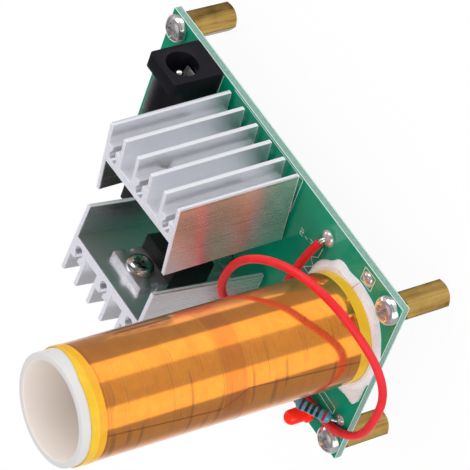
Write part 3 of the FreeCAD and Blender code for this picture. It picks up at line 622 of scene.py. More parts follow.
def makeBrass():
    material, tree = newTree("turnedBrass")
    lines, normal = useGroup(tree, drawnLines, Vector=objectCoordinates(tree), Across=1100.0, Along=70.0, Relief=0.12)
    grain = grainAt(tree, 260.0)[0]
    base = ramp(tree, maths(tree, "MULTIPLY", lines, grain), [
        (0.10, (0.15, 0.08, 0.018)), (0.22, (0.34, 0.21, 0.06)), (0.40, (0.46, 0.30, 0.09))])
    principled(tree, base, ramp(tree, grain, [(0.3, 0.28), (0.7, 0.42)]), normal, Metallic=1.0)
    return material


def makePlated(name, colour, roughness, scale=500.0, relief=0.12, metallic=1.0):
    material, tree = newTree(name)
    grain, normal = grainAt(tree, scale, relief)
    base = ramp(tree, grain, [(0.3, [channel * 0.8 for channel in colour]), (0.65, colour)])
    rough = ramp(tree, grain, [(0.3, roughness * 1.5), (0.7, roughness * 0.8)])
    principled(tree, base, rough, normal, Metallic=metallic)
    return material


sinkTurns = {  # lean about X, tip about Y and yaw about Z, as the sinks stand on the board
    "a": (2.39, -0.92, 4.03),
    "b": (7.06, 1.02, -177.76),
}
turnRadians = {letter: [math.radians(angle) for angle in turn] for letter, turn in sinkTurns.items()}
scuffs = {"a": 0.12, "b": 0.28}
aluminium = {letter: makeAluminium("extrudedAluminium" + letter.upper(), "heat_sink_" + letter, turn, scuffs[letter])
             for letter, turn in turnRadians.items()}
turnedBrass = makeBrass()
platedSteel = makePlated("platedSteel", (0.90, 0.87, 0.87), 0.14, metallic=0.84)
shadedSteel = makePlated("shadedSteel", (0.66, 0.65, 0.64), 0.10)
tinnedMetal = makePlated("tinnedMetal", (0.78, 0.79, 0.81), 0.24, scale=700.0)
tabMetal = makePlated("tabMetal", (0.68, 0.67, 0.69), 0.38, scale=160.0)
contactMetal = makePlated("contactMetal", (0.97, 0.96, 0.96), 0.5)
nickelPlate = makePlated("nickelPlate", (0.78, 0.77, 0.74), 0.14)
solderMetal = makePlated("solderMetal", (0.86, 0.81, 0.83), 0.2, scale=900.0, relief=0.25, metallic=0.8)


# Heat sinks

sink = {
    "edgeWidth": 0.06 * mm,
}


def makeSinks():
    for letter in "ab":
        piece = cadCopy("heat_sink_" + letter, "heatSink" + letter.upper())
        bevelEdges(piece, sink["edgeWidth"], segments=1, angle=40)
        finishPiece(piece, aluminium[letter], ["heat_sink_" + letter], smoothAngle=22)
    dressNode("heat_sink_pins", tinnedMetal)


makeSinks()
print("heat sinks")


# Transistors

transistorShape = {
    "tabEdge": 0.12 * mm,
    "caseEdge": 0.22 * mm,
    "notchDepth": 0.75 * mm,
    "notchHeight": 1.5 * mm,
    "notchDrop": 2.6 * mm,   # from the tab's top to the notch's top
}
blackEpoxy = plainMaterial("blackEpoxy", (0.011, 0.011, 0.013), (0.007, 0.007, 0.009), 0.45, scale=1500.0, relief=0.25)


def makeTransistors():
    shape = transistorShape
    for letter in "ab":
        turn = turnRadians[letter]
        low, high = localBox(f"transistor_{letter}_tab", turn)
        tab = cadCopy(f"transistor_{letter}_tab", "transistorTab" + letter.upper())
        for side, edge in ((-1, low.x), (1, high.x)):
            top = high.z - shape["notchDrop"]
            inner = edge - side * shape["notchDepth"]
            outer = edge + side * mm
            notch = addBlock("notch", (min(inner, outer), low.y - mm, top - shape["notchHeight"]),
                             (max(inner, outer), high.y + mm, top))
            combine(tab, placeBy(notch, turnedBy(turn)))
        bevelEdges(tab, shape["tabEdge"], segments=2, angle=40)
        finishPiece(tab, tabMetal, [f"transistor_{letter}_tab"])
        case = cadCopy(f"transistor_{letter}_case", "transistorCase" + letter.upper())
        bevelEdges(case, shape["caseEdge"], segments=3, angle=40)
        finishPiece(case, blackEpoxy, [f"transistor_{letter}_case"])
        dressNode(f"transistor_{letter}_leads", tinnedMetal)


makeTransistors()
print("transistors")


# Screws with a domed head and a cross recess

screw = {
    "headRadius": 2.75 * mm,
    "headHeight": 1.9 * mm,
    "sideHeight": 0.45 * mm,
    "shankRadius": 1.45 * mm,
    "recessLength": 3.7 * mm,
    "recessWidth": 1.0 * mm,
    "recessDepth": 1.6 * mm,
    "recessTaper": 0.6,
    "edge": 0.08 * mm,
    "lip": 0.12 * mm,      # height of the head's lower rounding
    "point": 0.3 * mm,     # length of the shank's chamfer
    "turns": {(1, 1): 62, (-1, 1): 20, (-1, -1): 40, (1, -1): 75},   # of the board's screws, by corner
    "sinkTurn": 28,
    "domeSteps": 9,
    "flatness": 0.62,   # the lower, the flatter the top and the rounder its shoulder
}


def makeScrew(name, length):
    # the head's underside is at the origin, and the shank runs down
    radius, side, top = screw["headRadius"], screw["sideHeight"], screw["headHeight"]
    profile = [(radius * 0.94, 0), (radius, screw["lip"]), (radius, side)]
    profile += domeOver(radius, side, top - side, screw["domeSteps"], 0.2, screw["flatness"])
    head = addTurned(name, profile, sides=56)
    floor = top - screw["recessDepth"]
    half, width = screw["recessLength"] / 2, screw["recessWidth"] / 2
    for sizeX, sizeY in ((half, width), (width, half)):
        wing = addBlock("wing", (-sizeX, -sizeY, floor), (sizeX, sizeY, top + mm))
        startEdit(wing)
        pickFaces(wing, lambda centre, normal: normal.z < -0.9)
        bpy.ops.transform.resize(value=(screw["recessTaper"], screw["recessTaper"], 1), center_override=(0, 0, floor))
        endEdit()
        combine(head, wing)
    bevelEdges(head, screw["edge"], segments=2, angle=35)
    bolt = screw["shankRadius"]
    shank = addTurned("shank", [(bolt * 0.8, -length), (bolt, -length + screw["point"]), (bolt, -0.01 * mm)], sides=32)
    return joinPieces(name, [head, shank])


def makeBoardScrews():
    # each head sits over a standoff, on the board
    low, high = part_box("board_screws")
    model = makeScrew("screwModel", boardTop - low.z)
    middle = high.x - screw["headRadius"], high.y - screw["headRadius"]
    copies = []
    for (sideX, sideY), turn in screw["turns"].items():
        place = Matrix.Translation((sideX * middle[0], sideY * middle[1], boardTop))
        copies.append(copyOf(model, place @ spun(turn)))
    bpy.data.objects.remove(model)
    finishPiece(joinPieces("boardScrews", copies), platedSteel, ["board_screws"], smoothAngle=40)


def makeTransistorScrews():
    copies = []
    for letter, side in (("a", 1), ("b", -1)):
        turn = turnRadians[letter]
        low, high = localBox("transistor_screws", turn, lambda place: place.y * side > 0)
        model = makeScrew("screwModel", high.y - low.y - screw["headHeight"])
        seat = Vector(((low.x + high.x) / 2, low.y + screw["headHeight"], (low.z + high.z) / 2))
        stance = turnedBy(turn) @ Matrix.Translation(seat) @ spun(90, "X") @ spun(screw["sinkTurn"])
        copies.append(placeBy(model, stance))
    finishPiece(joinPieces("transistorScrews", copies), shadedSteel, ["transistor_screws"],
                smoothAngle=40)


makeBoardScrews()
makeTransistorScrews()
print("screws")


# Standoffs: hexagonal brass bar, its ends turned to a chamfer

standoff = {
    "chamfer": 0.45 * mm,
    "boreRadius": 1.25 * mm,
    "boreMouth": 1.55 * mm,
    "edge": 0.12 * mm,
}


def makeStandoffs():
    low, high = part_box("board_standoffs")
    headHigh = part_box("board_screws")[1]
    centreX, centreY = headHigh.x - screw["headRadius"], headHigh.y - screw["headRadius"]
    corner = high.x - centreX   # a corner of the hexagon points along X
    length = high.z - low.z
    post = addPrimitive("post", bpy.ops.mesh.primitive_cylinder_add, vertices=6, radius=corner, depth=length,
                        location=(0, 0, length / 2))
    post.rotation_euler = (0, 0, math.radians(30))
    applyPlace()
    bevelEdges(post, standoff["edge"], segments=2, angle=40)
    chamfer = standoff["chamfer"]
    envelope = addTurned("envelope", [(corner - chamfer * 1.3, 0), (corner, chamfer), (corner, length - chamfer),
                                      (corner - chamfer * 1.3, length)])
    combine(post, envelope, "INTERSECT")
    bore, mouth = standoff["boreRadius"], standoff["boreMouth"]
    deep = mouth - bore
    core = addTurned("core", [(mouth + mm, -mm), (mouth, 0), (bore, deep), (bore, length - deep), (mouth, length),
                              (mouth + mm, length + mm)], sides=48)
    combine(post, core)
    copies = []
    for sideX in (-1, 1):
        for sideY in (-1, 1):
            copies.append(copyOf(post, Matrix.Translation((sideX * centreX, sideY * centreY, low.z))))
    bpy.data.objects.remove(post)
    finishPiece(joinPieces("boardStandoffs", copies), turnedBrass, ["board_standoffs"])


makeStandoffs()
print("standoffs")


# Coil: tube, winding under clear film, a yellow band at each end

def axisOf(node):
    # the middles of a round node's two ends
    places = [vertex.co for vertex in cadNodes[node].data.vertices]
    level = sum(place.z for place in places) / len(places)
    ends = []
    for keep in (lambda place: place.z < level, lambda place: place.z > level):
        low, high = cornersOf([place for place in places if keep(place)])
        ends.append((low + high) / 2)
    return ends


def spanOf(node, frameOfCoil):
    # inner and outer radius, start and end of a round node in the coil's own frame
    back = frameOfCoil.inverted()
    places = [back @ vertex.co for vertex in cadNodes[node].data.vertices]
    radii = [math.hypot(place.x, place.y) for place in places]
    return min(radii), max(radii), min(place.z for place in places), max(place.z for place in places)


coilFoot, coilHead = axisOf("secondary_winding")
coilAxis = (coilHead - coilFoot).normalized()
coilOrigin = coilFoot + coilAxis * ((boardTop - coilFoot.z) / coilAxis.z)
coilFrame = Matrix.Translation(coilOrigin) @ leanTo(coilAxis)
coilTurn = coilFrame.to_euler()

coil = {
    "rimEdge": 0.22 * mm,
    "bandEdge": 0.03 * mm,
    "filmStep": 0.04 * mm,
    "bandSlant": (0.17, -12),            # the upper yellow band's cut edge: slope, azimuth of its high side
    "overlap": (27.4 * mm, 32.5 * mm),   # where two lengths of film lie over each other
    "margin": 1.35 * mm,                 # film running on over the upper yellow band
    "flaps": (  # lengthwise edge of each length of film: foot, head, angle at each, in mm and degrees
        (3.4, 27.4, 14.1, 23.1),
        (32.5, 56.0, 6.3, 16.5),
    ),
    "flapWidth": 55,
    "reach": 60 * mm,                    # length of coil that the film's ramps cover
    "lapEdge": 0.13 * mm,                # width of the painted shadow and highlight lines at the doubled stretch
    # the film's last edge: from clear to a painted shadow line, then a painted highlight above it
    "lastEdge": (55.6 * mm, 55.8 * mm, 56.0 * mm),
    # a reddish mottled patch that darkens the film near one place, and how far it fades
    "redPatch": (5.63 * mm, 8.66 * mm, 4.9 * mm),
    "redPatchReach": (0.8 * mm, 2.4 * mm),
    "leadShrink": -0.12 * mm,            # bare wire, thinner than its solid
}


def makeTubeMaterial():
    material, tree = newTree("whiteTube")
    place = objectCoordinates(tree, coilOrigin, coilTurn)
    grain, normal = grainAt(tree, 300.0, 0.03, place)
    x, y, z = splitAxes(tree, place)
    flat = addNode(tree, "CombineXYZ", {"X": x, "Y": y})
    radius = addNode(tree, "VectorMath", {0: flat.outputs[0]}, operation="LENGTH").outputs["Value"]
    inner = spanOf("coil_former", coilFrame)[0]
    wall = mapRange(tree, radius, inner, inner + 0.2 * mm)
    base = mix(tree, wall, (0.86, 0.78, 0.72, 1), (0.66, 0.645, 0.64, 1))
    principled(tree, base, ramp(tree, grain, [(0.3, 0.36), (0.7, 0.46)]), normal)
    return material


def multiply(tree, first, second):
    return mix(tree, 1.0, first, second, blend_type="MULTIPLY")


def makeFilmMaterial():
    # copper turns under amber film: painted shade in the gaps between turns, a doubled stretch of film, painted shadow
    # and highlight lines at its edges and at the film's last edge, painted shade along its seams
    material, tree = newTree("amberFilm")
    place = objectCoordinates(tree, coilOrigin, coilTurn)
    x, y, z = splitAxes(tree, place)
    angle = maths(tree, "ARCTAN2", y, x)

    def linesAcross(scale, drift, detail):
        stretched = addNode(tree, "CombineXYZ", {"X": maths(tree, "MULTIPLY", z, scale),
                                                 "Y": maths(tree, "MULTIPLY", angle, drift)})
        return addNode(tree, "TexNoise", {"Vector": stretched.outputs[0], "Scale": 1.0, "Detail": detail,
                                          "Roughness": 0.5}).outputs["Fac"]

    turns = linesAcross(6500.0, 0.06, 1.5)
    hairs = linesAcross(2300.0, 0.05, 0.0)
    patches = linesAcross(500.0, 1.2, 1.0)
    gaps = maths(tree, "ADD", offsetFrom(tree, hairs, 0.5), mapRange(tree, patches, 0.40, 0.60, 0.0, 0.05))
    blotch = addNode(tree, "TexNoise", {"Vector": place, "Scale": 420.0, "Detail": 4.0,
                                        "Roughness": 0.65}).outputs["Fac"]
    base = ramp(tree, turns, [(0.30, (0.86, 0.27, 0.006)), (0.5, (0.94, 0.32, 0.009)), (0.72, (0.98, 0.355, 0.012))])
    # painted shade in the thin gaps between turns
    shaded = ramp(tree, gaps, [(0.010, 0.64), (0.036, 1.0)])
    warm = ramp(tree, blotch, [(0.35, (0.95, 0.86, 0.80)), (0.6, (1.0, 1.0, 1.0))])
    share = maths(tree, "DIVIDE", z, coil["reach"])
    # the last two colours are a painted highlight and a painted shadow, for the lines at the film's edges
    clear, doubled, light, paintedShadow = (1, 1, 1), (0.88, 0.74, 0.62), (1.0, 1.1, 1.3), (0.66, 0.55, 0.5)
    start, end = (length / coil["reach"] for length in coil["overlap"])
    edge = coil["lapEdge"] / coil["reach"]
    before, dark, after = (length / coil["reach"] for length in coil["lastEdge"])
    # darker where the film lies doubled, with painted shadow and highlight lines at the doubled stretch's edges and at
    # the film's last edge
    stretches = ramp(tree, share, [
        (start - 2 * edge, clear), (start - edge, paintedShadow), (start, light), (start + edge, light),
        (start + 2 * edge, doubled), (end - 3 * edge, doubled), (end - 2 * edge, paintedShadow), (end - edge, light),
        (end, light), (end + edge, clear), (before, clear), (dark, paintedShadow), (after, light)])
    ends = [end for foot, head, footAngle, headAngle in coil["flaps"] for end in ((foot, footAngle), (head, headAngle))]
    centre = ramp(tree, share, [(length * mm / coil["reach"], turn / 90) for length, turn in ends])
    quarter = maths(tree, "DIVIDE", angle, math.pi / 2)
    # painted shade line along each lengthwise film edge
    paintedSeamShade = ramp(tree, offsetFrom(tree, quarter, centre), [(0.004, (0.55, 0.42, 0.38)), (0.011, clear)])
    # a reddish mottled patch near one place on the coil
    fromRedPatch = addNode(tree, "VectorMath", {0: place, 1: coil["redPatch"]}, operation="DISTANCE").outputs["Value"]
    nearRedPatch = mapRange(tree, fromRedPatch, *coil["redPatchReach"], 1.0, 0.0)
    spots = addNode(tree, "TexNoise", {"Vector": place, "Scale": 1500.0, "Detail": 2.0}).outputs["Fac"]
    redPatch = ramp(tree, maths(tree, "MULTIPLY", nearRedPatch, spots), [(0.3, clear), (0.55, (0.72, 0.32, 0.4))])
    colour = base
    for layer in (shaded, warm, stretches, paintedSeamShade, redPatch):
        colour = multiply(tree, colour, layer)
    bump = addNode(tree, "Bump", {"Strength": 0.05, "Distance": 0.02 * mm, "Height": turns}).outputs["Normal"]
    principled(tree, colour, ramp(tree, blotch, [(0.3, 0.09), (0.7, 0.13)]), bump, Metallic=0.82, Coat_Weight=1.0,
               Coat_Roughness=0.5)
    return material


whiteTube = makeTubeMaterial()
amberFilm = makeFilmMaterial()
yellowTape = plainMaterial("yellowTape", (0.86, 0.55, 0.025), (0.76, 0.44, 0.015), 0.3, scale=220.0, relief=0.05)
amberMargin = plainMaterial("amberMargin", (0.86, 0.44, 0.018), (0.76, 0.34, 0.012), 0.22, scale=220.0, relief=0.05)
copperWire = makePlated("copperWire", (0.72, 0.30, 0.08), 0.3)


def cutThrough(piece, place, normal):
    # what lies behind the plane is taken away
    startEdit(piece, "VERT", everything=True)
    bpy.ops.mesh.bisect(plane_co=place, plane_no=normal, use_fill=True, clear_inner=True)
    endEdit()


def addFlap(inner, outer, low, high, lowAngle, highAngle):
    # a strip of film up to a lengthwise edge that drifts a little round the coil
    flap = addSleeve("flap", inner, outer, low, high, sides=192)
    first = math.radians(lowAngle - coil["flapWidth"])
    cutThrough(flap, (0, 0, 0), (-math.sin(first), math.cos(first), 0))
    edge = math.radians((lowAngle + highAngle) / 2)
    drift = outer * math.radians(highAngle - lowAngle) / (high - low)
    cutThrough(flap, (outer * math.cos(edge), outer * math.sin(edge), (low + high) / 2),
               (math.sin(edge), -math.cos(edge), drift))
    return flap


def makeCoil():
    inner, outer, low, high = spanOf("coil_former", coilFrame)
    tube = addSleeve("coilTube", inner, outer, low - mm, high)
    bevelEdges(tube, coil["rimEdge"], segments=3, angle=60)
    placeBy(tube, coilFrame)
    cutThrough(tube, (0, 0, boardTop), (0, 0, 1))
    finishPiece(tube, whiteTube, ["coil_former"])
    inner, outer, low, high = spanOf("winding_tape", coilFrame)
    step = coil["filmStep"]
    start, end = coil["overlap"]
    films = [addSleeve("film", inner, outer - step, low, high, sides=192),
             addSleeve("film", outer - 2 * step, outer, low, end, sides=192)]
    for film in films:
        bevelEdges(film, coil["bandEdge"], segments=1, angle=60)
    for (foot, head, footAngle, headAngle), radius in zip(coil["flaps"], (outer, outer - step)):
        films.append(addFlap(radius - step, radius + 0.7 * step, foot * mm, head * mm, footAngle, headAngle))
    film = placeBy(joinPieces("windingFilm", films), coilFrame)
    finishPiece(film, amberFilm, ["winding_tape"])
    for node, name in (("lower_tape_band", "lowerBand"), ("upper_tape_band", "upperBand")):
        sleeve = addSleeve(name, *spanOf(node, coilFrame), sides=192)
        if name == "upperBand":
            cutAbove(sleeve, spanOf(node, coilFrame)[3] + 0.01 * mm, *coil["bandSlant"], 20 * mm)
        bevelEdges(sleeve, coil["bandEdge"], segments=1, angle=60)
        placeBy(sleeve, coilFrame)
        finishPiece(sleeve, yellowTape, [node])
    inner, outer, low, high = spanOf("upper_tape_band", coilFrame)
    margin = addSleeve("filmMargin", outer - step, outer + step, low, low + coil["margin"], sides=192)
    bevelEdges(margin, coil["bandEdge"], segments=1, angle=60)
    finishPiece(placeBy(margin, coilFrame), amberMargin)
    dressNode("secondary_winding", copperWire)
    lead = cadCopy("secondary_lead", "secondaryLead")
    startEdit(lead, "VERT", everything=True)
    bpy.ops.transform.shrink_fatten(value=coil["leadShrink"])
    endEdit()
    finishPiece(lead, copperWire, ["secondary_lead"])


makeCoil()
print("coil")


# Glue round the coil's foot and smeared over the board

glue = {
    "seed": 11,
    "roughen": 0.05 * mm,
    "sides": 120,
    "profile": ((1.0, 0), (0.992, 0.28), (0.975, 0.42), (0.985, 0.55), (0.955, 0.8), (0.965, 0.92), (0.93, 1.2),
                (0.935, 1.3), (0.905, 1.8)),   # share of the radius, height in mm
    "top": (1.4 * mm, -0.026, 50),             # mean height over the board, slope, azimuth it falls to
    "bulges": (  # azimuth, push in mm, reach in mm
        (118, 0.75, 2.6),
        (100, -0.25, 2.2),
        (150, 0.35, 4.0),
        (165, -0.2, 2.5),
        (60, 0.25, 3.0),
        (25, -0.25, 4.0),
        (200, 0.3, 4.0),
        (250, -0.3, 4.0),
        (290, 0.4, 3.0),
    ),
    "grip": 0.7 * mm,      # reach of the vertices that a bulge is pulled by
    "foot": 0.1 * mm,      # height that stays flat
    "gap": 0.03 * mm,      # between film and ring
    "smearHeight": 0.22 * mm,
    "smearRim": (0.2 * mm, 0.05 * mm),   # width and rise of the slope inside its rim
    "smearShake": 0.12 * mm,
    "smearOutline": ((30.0, -2.0), (32.2, -5.9), (33.4, -6.9), (35.0, -6.4), (37.4, -6.5), (38.3, -4.6), (38.55, 3.0),
                     (34.0, 2.0)),   # in mm, as it lies on the board
}


def makeGlueMaterial():
    # chalky white with fine grain and small cracks
    material, tree = newTree("whiteGlue")
    place = objectCoordinates(tree, coilOrigin)
    grain, normal = grainAt(tree, 300.0, 0.14, place)
    cracks = addNode(tree, "TexVoronoi", {"Vector": place, "Scale": 900.0}, feature="DISTANCE_TO_EDGE")
    shade = ramp(tree, grain, [(0.3, (0.76, 0.71, 0.73)), (0.55, (0.86, 0.82, 0.84)), (0.75, (0.90, 0.88, 0.89))])
    lines = ramp(tree, cracks.outputs["Distance"], [(0.0, 0.9), (0.06, 1.0)])
    bump = addNode(tree, "Bump", {"Strength": 0.3, "Distance": 0.05 * mm, "Height": lines, "Normal": normal})
    principled(tree, multiply(tree, shade, lines), ramp(tree, grain, [(0.3, 0.5), (0.7, 0.35)]),
               bump.outputs["Normal"])
    return material


whiteGlue = makeGlueMaterial()


def pullAt(piece, azimuth, radius, move, reach):
    # the vertices nearest to one place on the rim are moved outwards, and those about them less
    direction = Vector((math.cos(math.radians(azimuth)), math.sin(math.radians(azimuth)), 0))
    pickVertices(piece, lambda place: (place - direction * radius).length < glue["grip"])
    bpy.ops.transform.translate(value=direction * move, use_proportional_edit=True,
                                proportional_edit_falloff="SMOOTH", proportional_size=reach)
    endEdit()


def roughenPiece(piece, amount, seed):
    # all but the foot, which stays flat
    pickVertices(piece, lambda place: place.z > glue["foot"])
    bpy.ops.transform.vertex_random(offset=amount, uniform=0.0, normal=0.7, seed=seed)
    endEdit()


def addOutline(name, outline, level, height):
    # a thin skin with an uneven rim: the outline filled, raised, cut finer and shaken
    middle = sum((Vector(point) for point in outline), Vector((0, 0))) / len(outline)
    piece = addPrimitive(name, bpy.ops.mesh.primitive_circle_add, vertices=len(outline), radius=mm, fill_type="NGON",
                         location=(0, 0, 0))
    turned = sorted(piece.data.vertices, key=lambda vertex: math.atan2(vertex.co.y, vertex.co.x))
    around = sorted(outline, key=lambda point: math.atan2(point[1] - middle.y, point[0] - middle.x))
    for vertex, (x, y) in zip(turned, around):
        vertex.co = (x * mm, y * mm, level)
    startEdit(piece, everything=True)
    bpy.ops.mesh.extrude_region_move(TRANSFORM_OT_translate={"value": (0, 0, height)})
    bpy.ops.mesh.inset(thickness=glue["smearRim"][0], depth=glue["smearRim"][1])
    bpy.ops.mesh.select_all(action="SELECT")
    bpy.ops.mesh.normals_make_consistent(inside=False)
    settleOrder()
    bpy.ops.mesh.select_mode(type="EDGE")
    bpy.ops.mesh.subdivide(number_cuts=5)
    settleOrder()
    bpy.ops.transform.vertex_random(offset=glue["smearShake"], uniform=0.0, normal=0.0, seed=glue["seed"])
    endEdit()
    return piece


def makeGlue():
    low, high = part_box("coil_glue")
    radius = coilOrigin.x - low.x
    inner = spanOf("winding_tape", coilFrame)[1]
    ring = addTurned("coilGlue", [(radius * share, rise * mm) for share, rise in glue["profile"]], sides=glue["sides"])
    for azimuth, push, reach in glue["bulges"]:
        pullAt(ring, azimuth, radius, push * mm, reach * mm)
    roughenPiece(ring, glue["roughen"], glue["seed"])
    cutAbove(ring, *glue["top"], 2 * radius)
    core = addTurned("core", [(inner + glue["gap"], -mm), (inner + glue["gap"], 4 * mm)], sides=128)
    combine(ring, core)
    placeBy(ring, Matrix.Translation((coilOrigin.x, coilOrigin.y, boardTop)))
    smear = addOutline("smear", glue["smearOutline"], boardTop, glue["smearHeight"])
    combine(ring, addBlock("past", (boardHigh.x, boardLow.y, 0), (boardHigh.x + low.x, boardHigh.y, 2 * high.z)))
    for piece in (ring, smear):
        startEdit(piece, everything=True)
        bpy.ops.mesh.normals_make_consistent(inside=False)
        endEdit()
    finishPiece(joinPieces("coilGlue", [ring, smear]), whiteGlue, ["coil_glue"], smoothAngle=50)


makeGlue()
print("glue")


# Lamp, resistors and capacitor

# painted glow: a faint red emission stands in for light passing through the lens
redLensPaintedGlow = plainMaterial("redLensPaintedGlow", (0.95, 0.028, 0.012), (0.86, 0.020, 0.009), 0.12, scale=200.0, relief=0.02,
                        Emission_Color=(1.0, 0.02, 0.01, 1), Emission_Strength=0.2)
dippedBrown = plainMaterial("dippedBrown", (0.34, 0.06, 0.02), (0.26, 0.04, 0.014), 0.25, scale=260.0, relief=0.1,
                            Coat_Weight=0.4)


lampShape = {
    "flangeOver": 0.4 * mm,   # how far the flange stands past the dome
    "flange": ((0.96, 0), (1.0, 0.1), (1.0, 0.9), (0.96, 1.0)),   # share of its radius, height in mm
    "seat": 1.02 * mm,
    "taper": 0.985,
    "domeSteps": 9,
}


def makeLamp():
    low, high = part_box("led_lens")
    flangeRadius = (high.x - low.x) / 2
    radius = flangeRadius - lampShape["flangeOver"]
    narrow = radius * lampShape["taper"]
    shoulder = high.z - low.z - radius
    profile = [(flangeRadius * share, rise * mm) for share, rise in lampShape["flange"]]
    profile += [(radius, lampShape["seat"]), (narrow, shoulder)]
    lens = addTurned("lampLens", profile + domeOver(narrow, shoulder, radius, lampShape["domeSteps"]), sides=48)
    placeBy(lens, overMiddle(low, high, low.z))
    finishPiece(lens, redLensPaintedGlow, ["led_lens"], smoothAngle=50)
    dressNode("led_leads", tinnedMetal)


resistor = {
    "length": 7.1 * mm,
    "radius": 1.0 * mm,
    "endRadius": 1.15 * mm,
    "tilt": 33.8,
    "bands": (  # place along the body as a share of its length, half width, colour
        (-0.33, 0.036, (0.05, 0.008, 0.08)),
        (-0.17, 0.038, (0.004, 0.006, 0.012)),
        (-0.02, 0.038, (0.004, 0.006, 0.012)),
        (0.13, 0.038, (0.005, 0.01, 0.04)),
        (0.31, 0.034, (0.30, 0.01, 0.03)),
    ),
}


def makeLacquer(name, centre, turn):
    # pale blue lacquer with five painted rings, measured along the body's own axis
    material, tree = newTree(name)
    place = objectCoordinates(tree, centre, turn)
    grain, normal = grainAt(tree, 700.0, 0.05, place)
    colour = ramp(tree, grain, [(0.3, (0.04, 0.20, 0.28)), (0.7, (0.08, 0.32, 0.42))])
    x = splitAxes(tree, place)[0]
    for share, halfWidth, paint in resistor["bands"]:
        size, half = offsetFrom(tree, x, share * resistor["length"]), halfWidth * resistor["length"]
        colour = mix(tree, mapRange(tree, size, half * 1.25, half), colour, (*paint, 1))
    principled(tree, colour, 0.25, normal, Coat_Weight=0.5)
    return material


def makeResistor(letter, tilt):
    low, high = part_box("resistor_" + letter)
    centre = (low + high) / 2
    half, radius, end = resistor["length"] / 2, resistor["radius"], resistor["endRadius"]
    oneEnd = []
    steps = 6
    for step in range(steps):
        angle = (step + 0.35) / steps * math.pi / 2
        oneEnd.append((end * math.sin(angle), -half + end * 0.8 * (1 - math.cos(angle))))
    oneEnd += [(end, -half + end * 0.85), (end, -half + end * 1.25), (radius * 1.03, -half + end * 1.6),
               (radius, -half + end * 1.9)]
    profile = oneEnd + [(r, -h) for r, h in reversed(oneEnd)]
    body = addTurned("resistor" + letter.upper(), profile, sides=40)
    turn = (0, math.radians(tilt), 0)
    placeBy(body, Matrix.Translation(centre) @ turnedBy(turn) @ spun(90, "Y"))
    lacquer = makeLacquer("blueLacquer" + letter.upper(), centre, turn)
    finishPiece(body, lacquer, ["resistor_" + letter], smoothAngle=60)
    dressNode(f"resistor_{letter}_leads", tinnedMetal)


capacitor = {
    "edge": 0.9 * mm,
}


def makeCapacitor():
    body = addBlock("capacitor", *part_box("capacitor_body"))
    bevelEdges(body, capacitor["edge"], segments=6, angle=40)
    finishPiece(body, dippedBrown, ["capacitor_body"], smoothAngle=60)
    dressNode("capacitor_leads", tinnedMetal)


makeLamp()
makeResistor("a", resistor["tilt"])
makeResistor("b", 0)
makeCapacitor()
print("lamp, resistors and capacitor")


# Sockets

charcoalPlastic = plainMaterial("charcoalPlastic", (0.011, 0.0095, 0.014), (0.007, 0.006, 0.010), 0.42, scale=1200.0,
                                relief=0.15, Specular_IOR_Level=0.15)


socketShape = {
    "corner": 0.65 * mm,
    "edge": 0.12 * mm,
}


def roundCorners(piece, radius):
    # the housing's outer edges along the plug's way, nothing else
    startEdit(piece, "EDGE")
    mesh = bmesh.from_edit_mesh(piece.data)
    for axis, end in (("x", min), ("x", max)):
        edge = end(getattr(vertex.co, axis) for vertex in mesh.verts)
        for line in mesh.edges:
            first, second = (vertex.co for vertex in line.verts)
            along = second - first
            beside = all(abs(getattr(place, axis) - edge) < 0.01 * mm for place in (first, second))
            if beside and abs(along.y) > 0.95 * along.length and line.calc_face_angle(0) > math.radians(60):
                line.select_set(True)
    bmesh.update_edit_mesh(piece.data)
    bpy.ops.mesh.bevel(offset=radius, segments=5, affect="EDGES")
    endEdit()


def makeSockets():
    for node, name in (("dc_jack_housing", "powerSocket"), ("audio_jack_housing", "audioSocket")):
        housing = cadCopy(node, name)
        if name == "powerSocket":
            roundCorners(housing, socketShape["corner"])
        bevelEdges(housing, socketShape["edge"], segments=2, angle=40)
        finishPiece(housing, charcoalPlastic, [node])
    for node in ("dc_jack_centre_pin", "audio_jack_sleeve"):
        dressNode(node, nickelPlate)
    for node in ("dc_jack_spring_contact", "audio_jack_tip_contact", "audio_jack_ring_contact"):
        dressNode(node, contactMetal)
    for node in ("dc_jack_terminals", "audio_jack_terminals", "primary_wire_ends"):
        dressNode(node, tinnedMetal)


makeSockets()
print("sockets")


# Circuit board

board = {
    "skin": 0.04 * mm,   # depth of the green mask seen from the side
}


def makeBoardMaterial():
    material, tree = newTree("solderMask")
    place = objectCoordinates(tree)
    size = offsetFrom(tree, splitAxes(tree, place)[2], (boardLow.z + boardHigh.z) / 2)
    edge = (boardHigh.z - boardLow.z) / 2
    side = mapRange(tree, size, edge - 0.5 * board["skin"], edge - board["skin"])
    share = maths(tree, "DIVIDE", size, edge)
    grain, normal = grainAt(tree, 120.0, 0.03, place)
    weave = grainAt(tree, 2500.0, place=place)[0]
    mask = ramp(tree, grain, [(0.3, (0.0, 0.245, 0.135)), (0.7, (0.0, 0.30, 0.165))])
    weft = ramp(tree, weave, [(0.3, (0.17, 0.32, 0.26)), (0.7, (0.27, 0.45, 0.38))])
    line = ramp(tree, share, [(0.74, 0.0), (0.80, 1.0), (0.94, 1.0)])
    base = mix(tree, side, mask, mix(tree, line, weft, (0.68, 0.82, 0.78, 1)))
    principled(tree, base, mix(tree, side, 0.3, 0.6, "FLOAT"), normal, Specular_IOR_Level=0.15, Coat_Weight=0.4,
               Coat_Roughness=0.03)
    return material


dressNode("circuit_board", makeBoardMaterial())
print("board")


# Solder

solder = {
    "jointFoot": ((1.25, 0.05 * mm), (1.25, 0), (1.0, -0.02 * mm)),   # share of the radius, height
    "jointCone": ((0.72, 0.28), (0.5, 0.62), (0.36, 1.0)),            # share of the radius, share of the height
    "jointTip": (0.2, 0.3 * mm),                                      # share of the radius, length past the cone
    "padFoot": ((1.12, -0.02 * mm), (1.12, 0.04 * mm), (0.98, 0.06 * mm)),
    "padSteps": 6,
}


